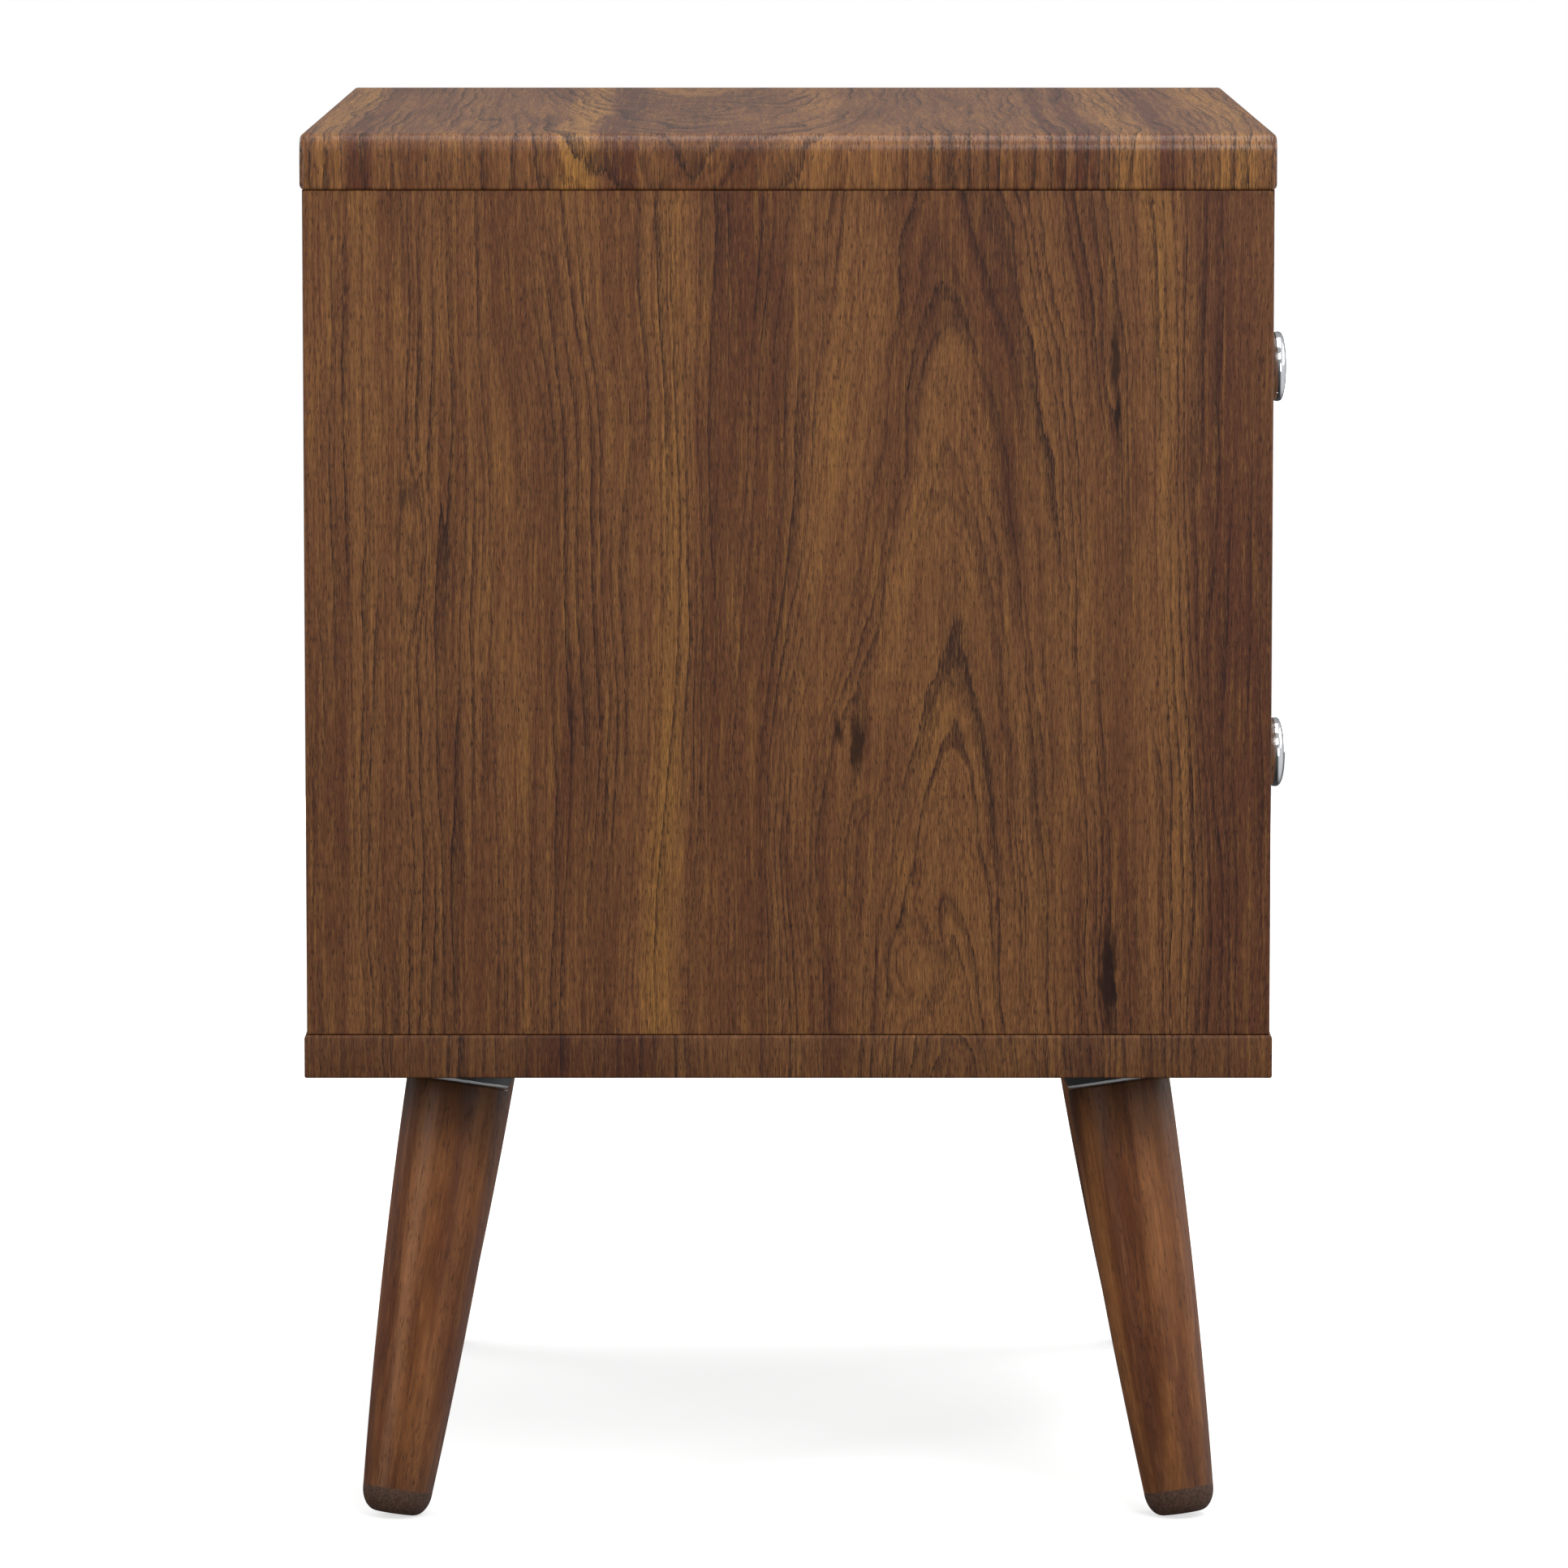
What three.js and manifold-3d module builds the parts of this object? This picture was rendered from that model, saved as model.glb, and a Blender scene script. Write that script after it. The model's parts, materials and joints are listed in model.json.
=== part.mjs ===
// Two-drawer nightstand on splayed turned legs.
// Millimetres, +Z up. The front faces -Y and +X is to the right of someone facing it.
// The origin is on the floor, under the middle of the overall box (slabs and knobs together).

import * as THREE from 'three';
import { mergeVertices } from 'three/addons/utils/BufferGeometryUtils.js';
import Module from 'manifold-3d';

const wasm = await Module();
wasm.setup();

// ---------------------------------------------------------------- driving dimensions

// Slabs: the top and bottom panels
const SLAB_WIDTH = 480;
const SLAB_DEPTH = 400;
const TOP_THICKNESS = 23;
const TOP_END_RADIUS = 8;
const TOP_FRONT_RADIUS = 3;
const TOP_UNDER_RADIUS = 2;
const BOTTOM_THICKNESS = 18;
const BOTTOM_UPPER_RADIUS = 1.5;
const BOTTOM_UNDER_RADIUS = 1;

// Carcass
const LEG_HEIGHT = 190.5;
const SIDE_HEIGHT = 349;
const SIDE_THICKNESS = 16;
const SIDE_INSET = 1;
const SIDE_EDGE_RADIUS = 1;
const BACK_THICKNESS = 3;
const BACK_INSET = 11;
const BACK_GROOVE_DEPTH = 6.5;
const GROOVE_CLEARANCE = 0.5;
const RAIL_HEIGHT = 16;
const RAIL_DEPTH = 60;
const RAIL_SETBACK = 1;

// Drawers
const FRONT_HEIGHT = 166;
const FRONT_THICKNESS = 16;
const FRONT_SIDE_GAP = 2;
const FRONT_LOWEST_GAP = 8;
const FRONT_MIDDLE_GAP = 3;
const FRONT_RECESS = 2.5;
const BOX_LENGTH = 350;
const BOX_HEIGHT = 120;
const BOX_RISE = 16;
const BOX_WALL = 12;
const BOX_BACK_HEIGHT = 96;
const TRAY_THICKNESS = 3;
const TRAY_RISE = 10;
const TRAY_GROOVE_DEPTH = 5.5;

// Knobs: the projection is from the drawer front to the crown of the dome
const KNOB_RADIUS = 15.25;
const KNOB_PROJECTION = 21;
const KNOB_CROWN = 4.25;
const KNOB_DOME_POWER = 2.6;
const KNOB_RIM = 2;
const KNOB_FLARE_RADIUS = 11.5;
const KNOB_NECK_RADIUS = 6.5;
const KNOB_NECK_START = 4;
const KNOB_NECK_END = 7.5;
const KNOB_FOOT_RADIUS = 8;
const KNOB_FOOT_THICKNESS = 1;
const KNOB_SIDES = 24;
const KNOB_SCREW_RADIUS = 2;
const KNOB_SCREW_GRIP = 9;
const KNOB_SCREW_HEAD_RADIUS = 4;
const KNOB_SCREW_HEAD_HEIGHT = 2.5;

// Ball-bearing slides: a channel on the cabinet, a channel on the drawer and a ball cage between
const SLIDE_LENGTH = 350;
const CABINET_SLIDE_SETBACK = 1;
const DRAWER_SLIDE_SETBACK = 0.5;
const SLIDE_SPACE = 12.5;
const SLIDE_RISE = 50;
const SHEET = 1.25;
const CABINET_CHANNEL_HEIGHT = 35;
const CABINET_CHANNEL_DEPTH = 9.5;
const CABINET_LIP = 1.25;
const DRAWER_CHANNEL_HEIGHT = 20;
const DRAWER_CHANNEL_DEPTH = 9.5;
const CAGE_LENGTH = 85;
const CAGE_SHEET = 0.75;
const CAGE_HALF_HEIGHT = 13.5;
const CAGE_SETBACK = 1.75;
const CAGE_ARM_DEPTH = 6.25;
const CAGE_FRONT_MARGIN = 2;
const BALL_RADIUS = 2.5;
const BALL_SETBACK = 5.625;
const BALLS_PER_ARM = 4;
const DRAWER_TRAVEL = 260;

// Legs: insets are from the slab's edges to the leg's axis, the same along X and Y
const FOOT_INSET = 34.5;
const PLATE_INSET = 62.75;
const LEG_FACE_DROP = 10.5;
const LEG_TOP_RADIUS = 21.5;
const LEG_TAPER = 7.6;
const LEG_TAPER_POWER = 1.8;
const FOOT_ROUND_RADIAL = 7;
const FOOT_ROUND_AXIAL = 10.5;
const FOOT_FLAT_DEPTH = 0.5;
const LEG_TOP_CHAMFER = 0.75;
const LEG_SIDES = 28;

// Leg plates and their fasteners
const PLATE_SIZE = 66;
const PLATE_CENTRE_INSET = 62.5;
const PLATE_CORNER_RADIUS = 6;
const PLATE_STEEL = 2;
const BOSS_BASE_RADIUS = 25;
const BOSS_SIDES = 24;
const NUT_RADIUS = 7.5;
const NUT_HEIGHT = 6;
const NUT_SIDES = 6;
const HANGER_RADIUS = 4;
const HANGER_IN_PLATE = 9;
const HANGER_IN_LEG = 35;
const BORE_SPARE_DEPTH = 2;
const HANGER_POINT_LENGTH = 3;
const HANGER_POINT_RADIUS = 2;
const HANGER_CHAMFER = 1;
const PLATE_SCREW_OFFSET = 26;
const PLATE_SCREW_RADIUS = 1.75;
const PLATE_SCREW_LENGTH = 12;
const PLATE_SCREW_HEAD_RADIUS = 3.5;
const PLATE_SCREW_HEAD_HEIGHT = 2.25;

// A pan head is flat over the first share of its radius, and upright over the second share of its height
const PAN_FLAT_SHARE = 0.6;
const PAN_UPRIGHT_SHARE = 0.4;

// Clearance kept round fasteners and between faces that meet at an angle
const FIT_GAP = 0.3;

// How far a cutting solid runs past the face that it cuts, and how many sides a bore has
const OVERRUN = 1;
const BORE_SIDES = 16;
const SMALL_BORE_SIDES = 8;

// ---------------------------------------------------------------- derived positions

const KNOB_OVERHANG = KNOB_PROJECTION - FRONT_RECESS - SIDE_INSET;
const SLAB_FRONT = (KNOB_OVERHANG - SLAB_DEPTH) / 2;
const SLAB_BACK = SLAB_FRONT + SLAB_DEPTH;
const HALF_WIDTH = SLAB_WIDTH / 2;
const CARCASS_FLOOR = LEG_HEIGHT + BOTTOM_THICKNESS;
const CARCASS_CEILING = CARCASS_FLOOR + SIDE_HEIGHT;
const OVERALL_HEIGHT = CARCASS_CEILING + TOP_THICKNESS;
const SIDE_OUTER = HALF_WIDTH - SIDE_INSET;
const SIDE_INNER = SIDE_OUTER - SIDE_THICKNESS;
const SIDE_FRONT = SLAB_FRONT + SIDE_INSET;
const SIDE_BACK = SLAB_BACK - SIDE_INSET;
const BACK_REAR = SIDE_BACK - BACK_INSET;
const FRONT_FACE = SIDE_FRONT + FRONT_RECESS;
const FRONT_REAR = FRONT_FACE + FRONT_THICKNESS;
const FRONT_HALF_WIDTH = SIDE_INNER - FRONT_SIDE_GAP;
const BOX_OUTER = SIDE_INNER - SLIDE_SPACE;
const BOX_INNER = BOX_OUTER - BOX_WALL;
const BOX_REAR = FRONT_REAR + BOX_LENGTH;
const SLIDE_FRONT = FRONT_REAR + CABINET_SLIDE_SETBACK;
const LOWER_FRONT_FLOOR = CARCASS_FLOOR + FRONT_LOWEST_GAP;
const UPPER_FRONT_FLOOR = LOWER_FRONT_FLOOR + FRONT_HEIGHT + FRONT_MIDDLE_GAP;
const LEG_SLOPE = (PLATE_INSET - FOOT_INSET) / LEG_HEIGHT;

// ---------------------------------------------------------------- finishes

const FINISH = {
  walnutPanel: { color: 0x6d4732, roughness: 0.45, metalness: 0 },
  legWood: { color: 0x6e4730, roughness: 0.4, metalness: 0 },
  boxBoard: { color: 0xc9b08c, roughness: 0.6, metalness: 0 },
  backBoard: { color: 0x5d4334, roughness: 0.7, metalness: 0 },
  blackSteel: { color: 0x2c2e2f, roughness: 0.45, metalness: 0.9 },
  zincSteel: { color: 0xb4b8ba, roughness: 0.35, metalness: 1 },
  cageSteel: { color: 0x8f9496, roughness: 0.4, metalness: 1 },
  chrome: { color: 0xdadcdd, roughness: 0.08, metalness: 1 },
};

const nightstand = new THREE.Group();

function addPart(name, geometry, finish) {
  const mesh = new THREE.Mesh(geometry, new THREE.MeshStandardMaterial(finish));
  mesh.name = name;
  nightstand.add(mesh);
  return mesh;
}

// ---------------------------------------------------------------- solids

function toSolid(geometry) {
  const bare = geometry.clone();
  bare.deleteAttribute('normal');
  bare.deleteAttribute('uv');
  const merged = mergeVertices(bare, 1e-4);
  return new wasm.Manifold(new wasm.Mesh({
    numProp: 3,
    vertProperties: new Float32Array(merged.attributes.position.array),
    triVerts: new Uint32Array(merged.index.array),
  }));
}

function toGeometry(solid) {
  const mesh = solid.getMesh();
  const geometry = new THREE.BufferGeometry();
  geometry.setAttribute('position', new THREE.BufferAttribute(mesh.vertProperties, 3));
  geometry.setIndex(new THREE.BufferAttribute(mesh.triVerts, 1));
  geometry.computeVertexNormals();
  return geometry;
}

function cut(geometry, cutters) {
  return toGeometry(cutters.reduce((solid, cutter) => solid.subtract(toSolid(cutter)), toSolid(geometry)));
}

function join(geometries) {
  const [first, ...rest] = geometries.map(toSolid);
  return toGeometry(rest.reduce((solid, other) => solid.add(other), first));
}

function common(first, second) {
  return toGeometry(toSolid(first).intersect(toSolid(second)));
}

function block([x0, x1], [y0, y1], [z0, z1]) {
  const geometry = new THREE.BoxGeometry(x1 - x0, y1 - y0, z1 - z0);
  return geometry.translate((x0 + x1) / 2, (y0 + y1) / 2, (z0 + z1) / 2);
}

// A rectangle with a radius at each corner, given anticlockwise from the lower left
function roundedRectangle([u0, u1], [v0, v1], [lowerLeft, lowerRight, upperRight, upperLeft]) {
  const quarter = Math.PI / 2;
  const shape = new THREE.Shape();
  const corner = (u, v, radius, start) => {
    if (radius > 0) {
      shape.absarc(u, v, radius, start, start + quarter, false);
    } else {
      shape.lineTo(u, v);
    }
  };
  shape.moveTo(u0 + lowerLeft, v0);
  corner(u1 - lowerRight, v0 + lowerRight, lowerRight, -quarter);
  corner(u1 - upperRight, v1 - upperRight, upperRight, 0);
  corner(u0 + upperLeft, v1 - upperLeft, upperLeft, quarter);
  corner(u0 + lowerLeft, v0 + lowerLeft, lowerLeft, 2 * quarter);
  return shape;
}

const ALONG_X = new THREE.Matrix4().makeBasis(
  new THREE.Vector3(0, 1, 0), new THREE.Vector3(0, 0, 1), new THREE.Vector3(1, 0, 0));
const ALONG_Y = new THREE.Matrix4().makeBasis(
  new THREE.Vector3(1, 0, 0), new THREE.Vector3(0, 0, 1), new THREE.Vector3(0, -1, 0));

// An outline in the YZ plane, extruded along X
function extrudeX(outline, [x0, x1], curveSegments = 2) {
  const geometry = new THREE.ExtrudeGeometry(outline, { depth: x1 - x0, bevelEnabled: false, curveSegments });
  return geometry.applyMatrix4(ALONG_X).translate(x0, 0, 0);
}

// An outline in the XZ plane, extruded along Y
function extrudeY(outline, [y0, y1], curveSegments = 2) {
  const geometry = new THREE.ExtrudeGeometry(outline, { depth: y1 - y0, bevelEnabled: false, curveSegments });
  return geometry.applyMatrix4(ALONG_Y).translate(0, y1, 0);
}

// An outline in the XY plane, extruded along Z
function extrudeZ(outline, [z0, z1], curveSegments = 2) {
  const geometry = new THREE.ExtrudeGeometry(outline, { depth: z1 - z0, bevelEnabled: false, curveSegments });
  return geometry.translate(0, 0, z0);
}

// A profile of [radius, height] points turned about Z
function turned(profile, sides) {
  const points = profile.map(([radius, height]) => new THREE.Vector2(radius, height));
  return new THREE.LatheGeometry(points, sides).rotateX(Math.PI / 2);
}

function rod(radius, [z0, z1], sides) {
  return turned([[0, z0], [radius, z0], [radius, z1], [0, z1]], sides);
}

// ---------------------------------------------------------------- top and bottom slabs

function topPanel() {
  const heights = [CARCASS_CEILING, OVERALL_HEIGHT];
  const endRadii = [TOP_UNDER_RADIUS, TOP_UNDER_RADIUS, TOP_END_RADIUS, TOP_END_RADIUS];
  const frontRadii = [TOP_UNDER_RADIUS, TOP_UNDER_RADIUS, TOP_FRONT_RADIUS, TOP_FRONT_RADIUS];
  const acrossWidth = roundedRectangle([-HALF_WIDTH, HALF_WIDTH], heights, endRadii);
  const acrossDepth = roundedRectangle([SLAB_FRONT, SLAB_BACK], heights, frontRadii);
  return common(
    extrudeY(acrossWidth, [SLAB_FRONT - OVERRUN, SLAB_BACK + OVERRUN], 3),
    extrudeX(acrossDepth, [-HALF_WIDTH - OVERRUN, HALF_WIDTH + OVERRUN], 2));
}

const CORNERS = [
  { name: 'front_left', x: -1, y: -1 },
  { name: 'front_right', x: 1, y: -1 },
  { name: 'rear_left', x: -1, y: 1 },
  { name: 'rear_right', x: 1, y: 1 },
];

function plateCentre(corner) {
  const y = corner.y < 0 ? SLAB_FRONT + PLATE_CENTRE_INSET : SLAB_BACK - PLATE_CENTRE_INSET;
  return new THREE.Vector3(corner.x * (HALF_WIDTH - PLATE_CENTRE_INSET), y, LEG_HEIGHT);
}

function plateScrewPlaces(corner) {
  const centre = plateCentre(corner);
  return CORNERS.map((place) => new THREE.Vector3(
    centre.x + place.x * PLATE_SCREW_OFFSET, centre.y + place.y * PLATE_SCREW_OFFSET, LEG_HEIGHT));
}

function bottomPanel() {
  const heights = [LEG_HEIGHT, CARCASS_FLOOR];
  const radii = [BOTTOM_UNDER_RADIUS, BOTTOM_UNDER_RADIUS, BOTTOM_UPPER_RADIUS, BOTTOM_UPPER_RADIUS];
  const acrossWidth = roundedRectangle([-HALF_WIDTH, HALF_WIDTH], heights, radii);
  const acrossDepth = roundedRectangle([SLAB_FRONT, SLAB_BACK], heights, radii);
  const slab = common(
    extrudeY(acrossWidth, [SLAB_FRONT - OVERRUN, SLAB_BACK + OVERRUN]),
    extrudeX(acrossDepth, [-HALF_WIDTH - OVERRUN, HALF_WIDTH + OVERRUN]));
  const depth = [-OVERRUN, PLATE_SCREW_LENGTH + OVERRUN];
  const screwHole = rod(PLATE_SCREW_RADIUS + FIT_GAP, depth, SMALL_BORE_SIDES);
  const holes = CORNERS.flatMap((corner) => plateScrewPlaces(corner)
    .map((place) => screwHole.clone().translate(place.x, place.y, place.z)));
  return cut(slab, holes);
}

addPart('top_panel', topPanel(), FINISH.walnutPanel);
addPart('bottom_panel', bottomPanel(), FINISH.walnutPanel);

// ---------------------------------------------------------------- sides, back and divider rail

const SIDES = [{ name: 'left', x: -1 }, { name: 'right', x: 1 }];

// Values run outwards from the middle; on the left they are mirrored and put back in order
function span(side, inner, outer) {
  return side.x > 0 ? [inner, outer] : [-outer, -inner];
}

function sidePanel(side) {
  const heights = [CARCASS_FLOOR, CARCASS_CEILING];
  const r = SIDE_EDGE_RADIUS;
  const outerRadii = side.x > 0 ? [0, r, r, 0] : [r, 0, 0, r];
  const thickness = span(side, SIDE_INNER, SIDE_OUTER);
  const elevation = roundedRectangle(thickness, heights, outerRadii);
  const plan = roundedRectangle(thickness, [SIDE_FRONT, SIDE_BACK], outerRadii);
  const panel = common(
    extrudeY(elevation, [SIDE_FRONT - OVERRUN, SIDE_BACK + OVERRUN]),
    extrudeZ(plan, [CARCASS_FLOOR - OVERRUN, CARCASS_CEILING + OVERRUN]));
  const groove = block(
    span(side, SIDE_INNER - OVERRUN, SIDE_INNER + BACK_GROOVE_DEPTH),
    [BACK_REAR - BACK_THICKNESS - GROOVE_CLEARANCE / 2, BACK_REAR + GROOVE_CLEARANCE / 2],
    [CARCASS_FLOOR - OVERRUN, CARCASS_CEILING + OVERRUN]);
  return cut(panel, [groove]);
}

for (const side of SIDES) {
  addPart(`side_panel_${side.name}`, sidePanel(side), FINISH.walnutPanel);
}

const backHalfWidth = SIDE_INNER + BACK_GROOVE_DEPTH - GROOVE_CLEARANCE;
addPart('back_panel', block(
  [-backHalfWidth, backHalfWidth],
  [BACK_REAR - BACK_THICKNESS, BACK_REAR],
  [CARCASS_FLOOR, CARCASS_CEILING]), FINISH.backBoard);

const railMiddle = UPPER_FRONT_FLOOR - FRONT_MIDDLE_GAP / 2;
addPart('divider_rail', block(
  [-SIDE_INNER, SIDE_INNER],
  [FRONT_REAR + RAIL_SETBACK, FRONT_REAR + RAIL_SETBACK + RAIL_DEPTH],
  [railMiddle - RAIL_HEIGHT / 2, railMiddle + RAIL_HEIGHT / 2]), FINISH.backBoard);

// ---------------------------------------------------------------- legs, plates and their bolts

// The leg's own frame: its origin is the middle of the leg's upper face and +Z runs up its axis
function legFrame(corner) {
  const lean = new THREE.Vector3(-corner.x * LEG_SLOPE, -corner.y * LEG_SLOPE, 1).normalize();
  const turn = new THREE.Quaternion().setFromUnitVectors(new THREE.Vector3(0, 0, 1), lean);
  const height = LEG_HEIGHT - LEG_FACE_DROP;
  const inset = FOOT_INSET + height * LEG_SLOPE;
  const y = corner.y < 0 ? SLAB_FRONT + inset : SLAB_BACK - inset;
  const place = new THREE.Vector3(corner.x * (HALF_WIDTH - inset), y, height);
  return new THREE.Matrix4().compose(place, turn, new THREE.Vector3(1, 1, 1));
}

// How far the rounded end reaches below the middle of its face, once the leg leans
function footReach(leanAngle, faceRadius) {
  const around = Math.atan(FOOT_ROUND_RADIAL / FOOT_ROUND_AXIAL * Math.tan(leanAngle));
  const out = faceRadius + FOOT_ROUND_RADIAL * Math.sin(around);
  const back = FOOT_ROUND_AXIAL * (1 - Math.cos(around));
  return out * Math.sin(leanAngle) - back * Math.cos(leanAngle);
}

const LEAN = Math.atan(LEG_SLOPE * Math.SQRT2);
const legRadius = (share) => LEG_TOP_RADIUS - LEG_TAPER * share ** LEG_TAPER_POWER;
const roundStart = 1 - FOOT_ROUND_AXIAL * Math.cos(LEAN) / (LEG_HEIGHT - LEG_FACE_DROP);
const footFaceRadius = legRadius(roundStart) - FOOT_ROUND_RADIAL;
const footFaceHeight = footReach(LEAN, footFaceRadius) - FOOT_FLAT_DEPTH;
const LEG_LENGTH = (LEG_HEIGHT - LEG_FACE_DROP - footFaceHeight) / Math.cos(LEAN);

function legProfile() {
  const taperSteps = 6;
  const roundSteps = 4;
  const profile = [[0, -LEG_LENGTH]];
  for (let step = 0; step < roundSteps; step += 1) {
    const angle = step / roundSteps * Math.PI / 2;
    profile.push([
      footFaceRadius + FOOT_ROUND_RADIAL * Math.sin(angle),
      -LEG_LENGTH + FOOT_ROUND_AXIAL * (1 - Math.cos(angle)),
    ]);
  }
  const taperEnd = (LEG_LENGTH - FOOT_ROUND_AXIAL) / LEG_LENGTH;
  for (let step = taperSteps; step >= 1; step -= 1) {
    const share = taperEnd * step / taperSteps;
    profile.push([legRadius(share), -LEG_LENGTH * share]);
  }
  profile.push(
    [LEG_TOP_RADIUS, -FIT_GAP - LEG_TOP_CHAMFER],
    [LEG_TOP_RADIUS - LEG_TOP_CHAMFER, -FIT_GAP],
    [0, -FIT_GAP]);
  return profile;
}

function leg(corner) {
  const bore = rod(HANGER_RADIUS + FIT_GAP, [-HANGER_IN_LEG - BORE_SPARE_DEPTH, OVERRUN], BORE_SIDES);
  const drilled = cut(turned(legProfile(), LEG_SIDES), [bore]);
  const standing = drilled.applyMatrix4(legFrame(corner));
  const below = block([-HALF_WIDTH, HALF_WIDTH], [SLAB_FRONT, SLAB_BACK], [-LEG_TOP_RADIUS, 0]);
  return cut(standing, [below]);
}

// A drum from a level ring in the flange to a ring square to the leg, smaller by `wall`
function wedgeDrum(corner, wall, levelHeight) {
  const drum = new THREE.CylinderGeometry(1, 1, 2, BOSS_SIDES, 1).rotateX(Math.PI / 2);
  const centre = plateCentre(corner);
  const frame = legFrame(corner);
  const vertex = new THREE.Vector3();
  const place = drum.attributes.position;
  for (let index = 0; index < place.count; index += 1) {
    vertex.fromBufferAttribute(place, index);
    if (vertex.z > 0) {
      vertex.set(vertex.x * (BOSS_BASE_RADIUS - wall), vertex.y * (BOSS_BASE_RADIUS - wall), 0);
      vertex.add(centre).setZ(levelHeight);
    } else {
      vertex.set(vertex.x * (LEG_TOP_RADIUS - wall), vertex.y * (LEG_TOP_RADIUS - wall), wall);
      vertex.applyMatrix4(frame);
    }
    place.setXYZ(index, vertex.x, vertex.y, vertex.z);
  }
  return drum;
}

function legPlate(corner) {
  const centre = plateCentre(corner);
  const half = PLATE_SIZE / 2;
  const outline = roundedRectangle(
    [centre.x - half, centre.x + half],
    [centre.y - half, centre.y + half],
    new Array(4).fill(PLATE_CORNER_RADIUS));
  const flange = extrudeZ(outline, [LEG_HEIGHT - PLATE_STEEL, LEG_HEIGHT]);
  const boss = wedgeDrum(corner, 0, LEG_HEIGHT - PLATE_STEEL / 2);
  const hollow = wedgeDrum(corner, PLATE_STEEL, LEG_HEIGHT + OVERRUN);
  const pressed = cut(join([flange, boss]), [hollow]);
  const nutTop = PLATE_STEEL + NUT_HEIGHT;
  const nut = rod(NUT_RADIUS, [PLATE_STEEL / 2, nutTop], NUT_SIDES).applyMatrix4(legFrame(corner));
  const threaded = rod(HANGER_RADIUS + FIT_GAP, [-OVERRUN, nutTop + OVERRUN], BORE_SIDES)
    .applyMatrix4(legFrame(corner));
  const screwHole = rod(PLATE_SCREW_RADIUS + FIT_GAP, [-PLATE_STEEL - OVERRUN, OVERRUN], SMALL_BORE_SIDES);
  const holes = plateScrewPlaces(corner)
    .map((place) => screwHole.clone().translate(place.x, place.y, place.z));
  return cut(join([pressed, nut]), [threaded, ...holes]);
}

function hangerBolt(corner) {
  return turned([
    [0, -HANGER_IN_LEG], [HANGER_POINT_RADIUS, -HANGER_IN_LEG],
    [HANGER_RADIUS, -HANGER_IN_LEG + HANGER_POINT_LENGTH], [HANGER_RADIUS, HANGER_IN_PLATE - HANGER_CHAMFER],
    [HANGER_RADIUS - HANGER_CHAMFER, HANGER_IN_PLATE], [0, HANGER_IN_PLATE],
  ], BORE_SIDES).applyMatrix4(legFrame(corner));
}

// A pan-head screw driven upwards: the underside of its head is at z = 0
function panHeadScrew(shankRadius, shankLength, headRadius, headHeight, sides) {
  return turned([
    [0, -headHeight], [headRadius * PAN_FLAT_SHARE, -headHeight],
    [headRadius, -headHeight * PAN_UPRIGHT_SHARE], [headRadius, 0],
    [shankRadius, 0], [shankRadius, shankLength - shankRadius], [0, shankLength],
  ], sides);
}

for (const corner of CORNERS) {
  addPart(`leg_${corner.name}`, leg(corner), FINISH.legWood);
  addPart(`leg_plate_${corner.name}`, legPlate(corner), FINISH.blackSteel);
  addPart(`hanger_bolt_${corner.name}`, hangerBolt(corner), FINISH.zincSteel);
  plateScrewPlaces(corner).forEach((place, index) => {
    const screw = panHeadScrew(PLATE_SCREW_RADIUS, PLATE_SCREW_LENGTH + PLATE_STEEL,
      PLATE_SCREW_HEAD_RADIUS, PLATE_SCREW_HEAD_HEIGHT, SMALL_BORE_SIDES);
    screw.translate(place.x, place.y, LEG_HEIGHT - PLATE_STEEL);
    addPart(`plate_screw_${corner.name}_${index + 1}`, screw, FINISH.zincSteel);
  });
}

// ---------------------------------------------------------------- drawers

function drawerFront(floor) {
  const panel = block([-FRONT_HALF_WIDTH, FRONT_HALF_WIDTH], [FRONT_FACE, FRONT_REAR],
    [floor, floor + FRONT_HEIGHT]);
  const trayFloor = floor + BOX_RISE + TRAY_RISE;
  const grooveHalfWidth = BOX_INNER + TRAY_GROOVE_DEPTH;
  const groove = block(
    [-grooveHalfWidth, grooveHalfWidth],
    [FRONT_REAR - TRAY_GROOVE_DEPTH, FRONT_REAR + OVERRUN],
    [trayFloor, trayFloor + TRAY_THICKNESS + GROOVE_CLEARANCE]);
  const screwHole = rod(KNOB_SCREW_RADIUS + FIT_GAP, [-OVERRUN, FRONT_THICKNESS + OVERRUN], BORE_SIDES)
    .rotateX(Math.PI / 2)
    .translate(0, FRONT_REAR, floor + FRONT_HEIGHT / 2);
  return cut(panel, [groove, screwHole]);
}

function drawerSide(side, floor) {
  const boxFloor = floor + BOX_RISE;
  const board = block(
    span(side, BOX_INNER, BOX_OUTER),
    [FRONT_REAR, BOX_REAR],
    [boxFloor, boxFloor + BOX_HEIGHT]);
  const trayFloor = boxFloor + TRAY_RISE;
  const groove = block(
    span(side, BOX_INNER - OVERRUN, BOX_INNER + TRAY_GROOVE_DEPTH),
    [FRONT_REAR - OVERRUN, BOX_REAR + OVERRUN],
    [trayFloor, trayFloor + TRAY_THICKNESS + GROOVE_CLEARANCE]);
  return cut(board, [groove]);
}

function drawerBack(floor) {
  const backFloor = floor + BOX_RISE + TRAY_RISE + TRAY_THICKNESS + GROOVE_CLEARANCE;
  return block(
    [-BOX_INNER, BOX_INNER],
    [BOX_REAR - BOX_WALL, BOX_REAR],
    [backFloor, backFloor + BOX_BACK_HEIGHT]);
}

function drawerTray(floor) {
  const halfWidth = BOX_INNER + TRAY_GROOVE_DEPTH - GROOVE_CLEARANCE;
  const trayFloor = floor + BOX_RISE + TRAY_RISE;
  return block(
    [-halfWidth, halfWidth],
    [FRONT_REAR - TRAY_GROOVE_DEPTH + GROOVE_CLEARANCE, BOX_REAR],
    [trayFloor, trayFloor + TRAY_THICKNESS]);
}

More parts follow.
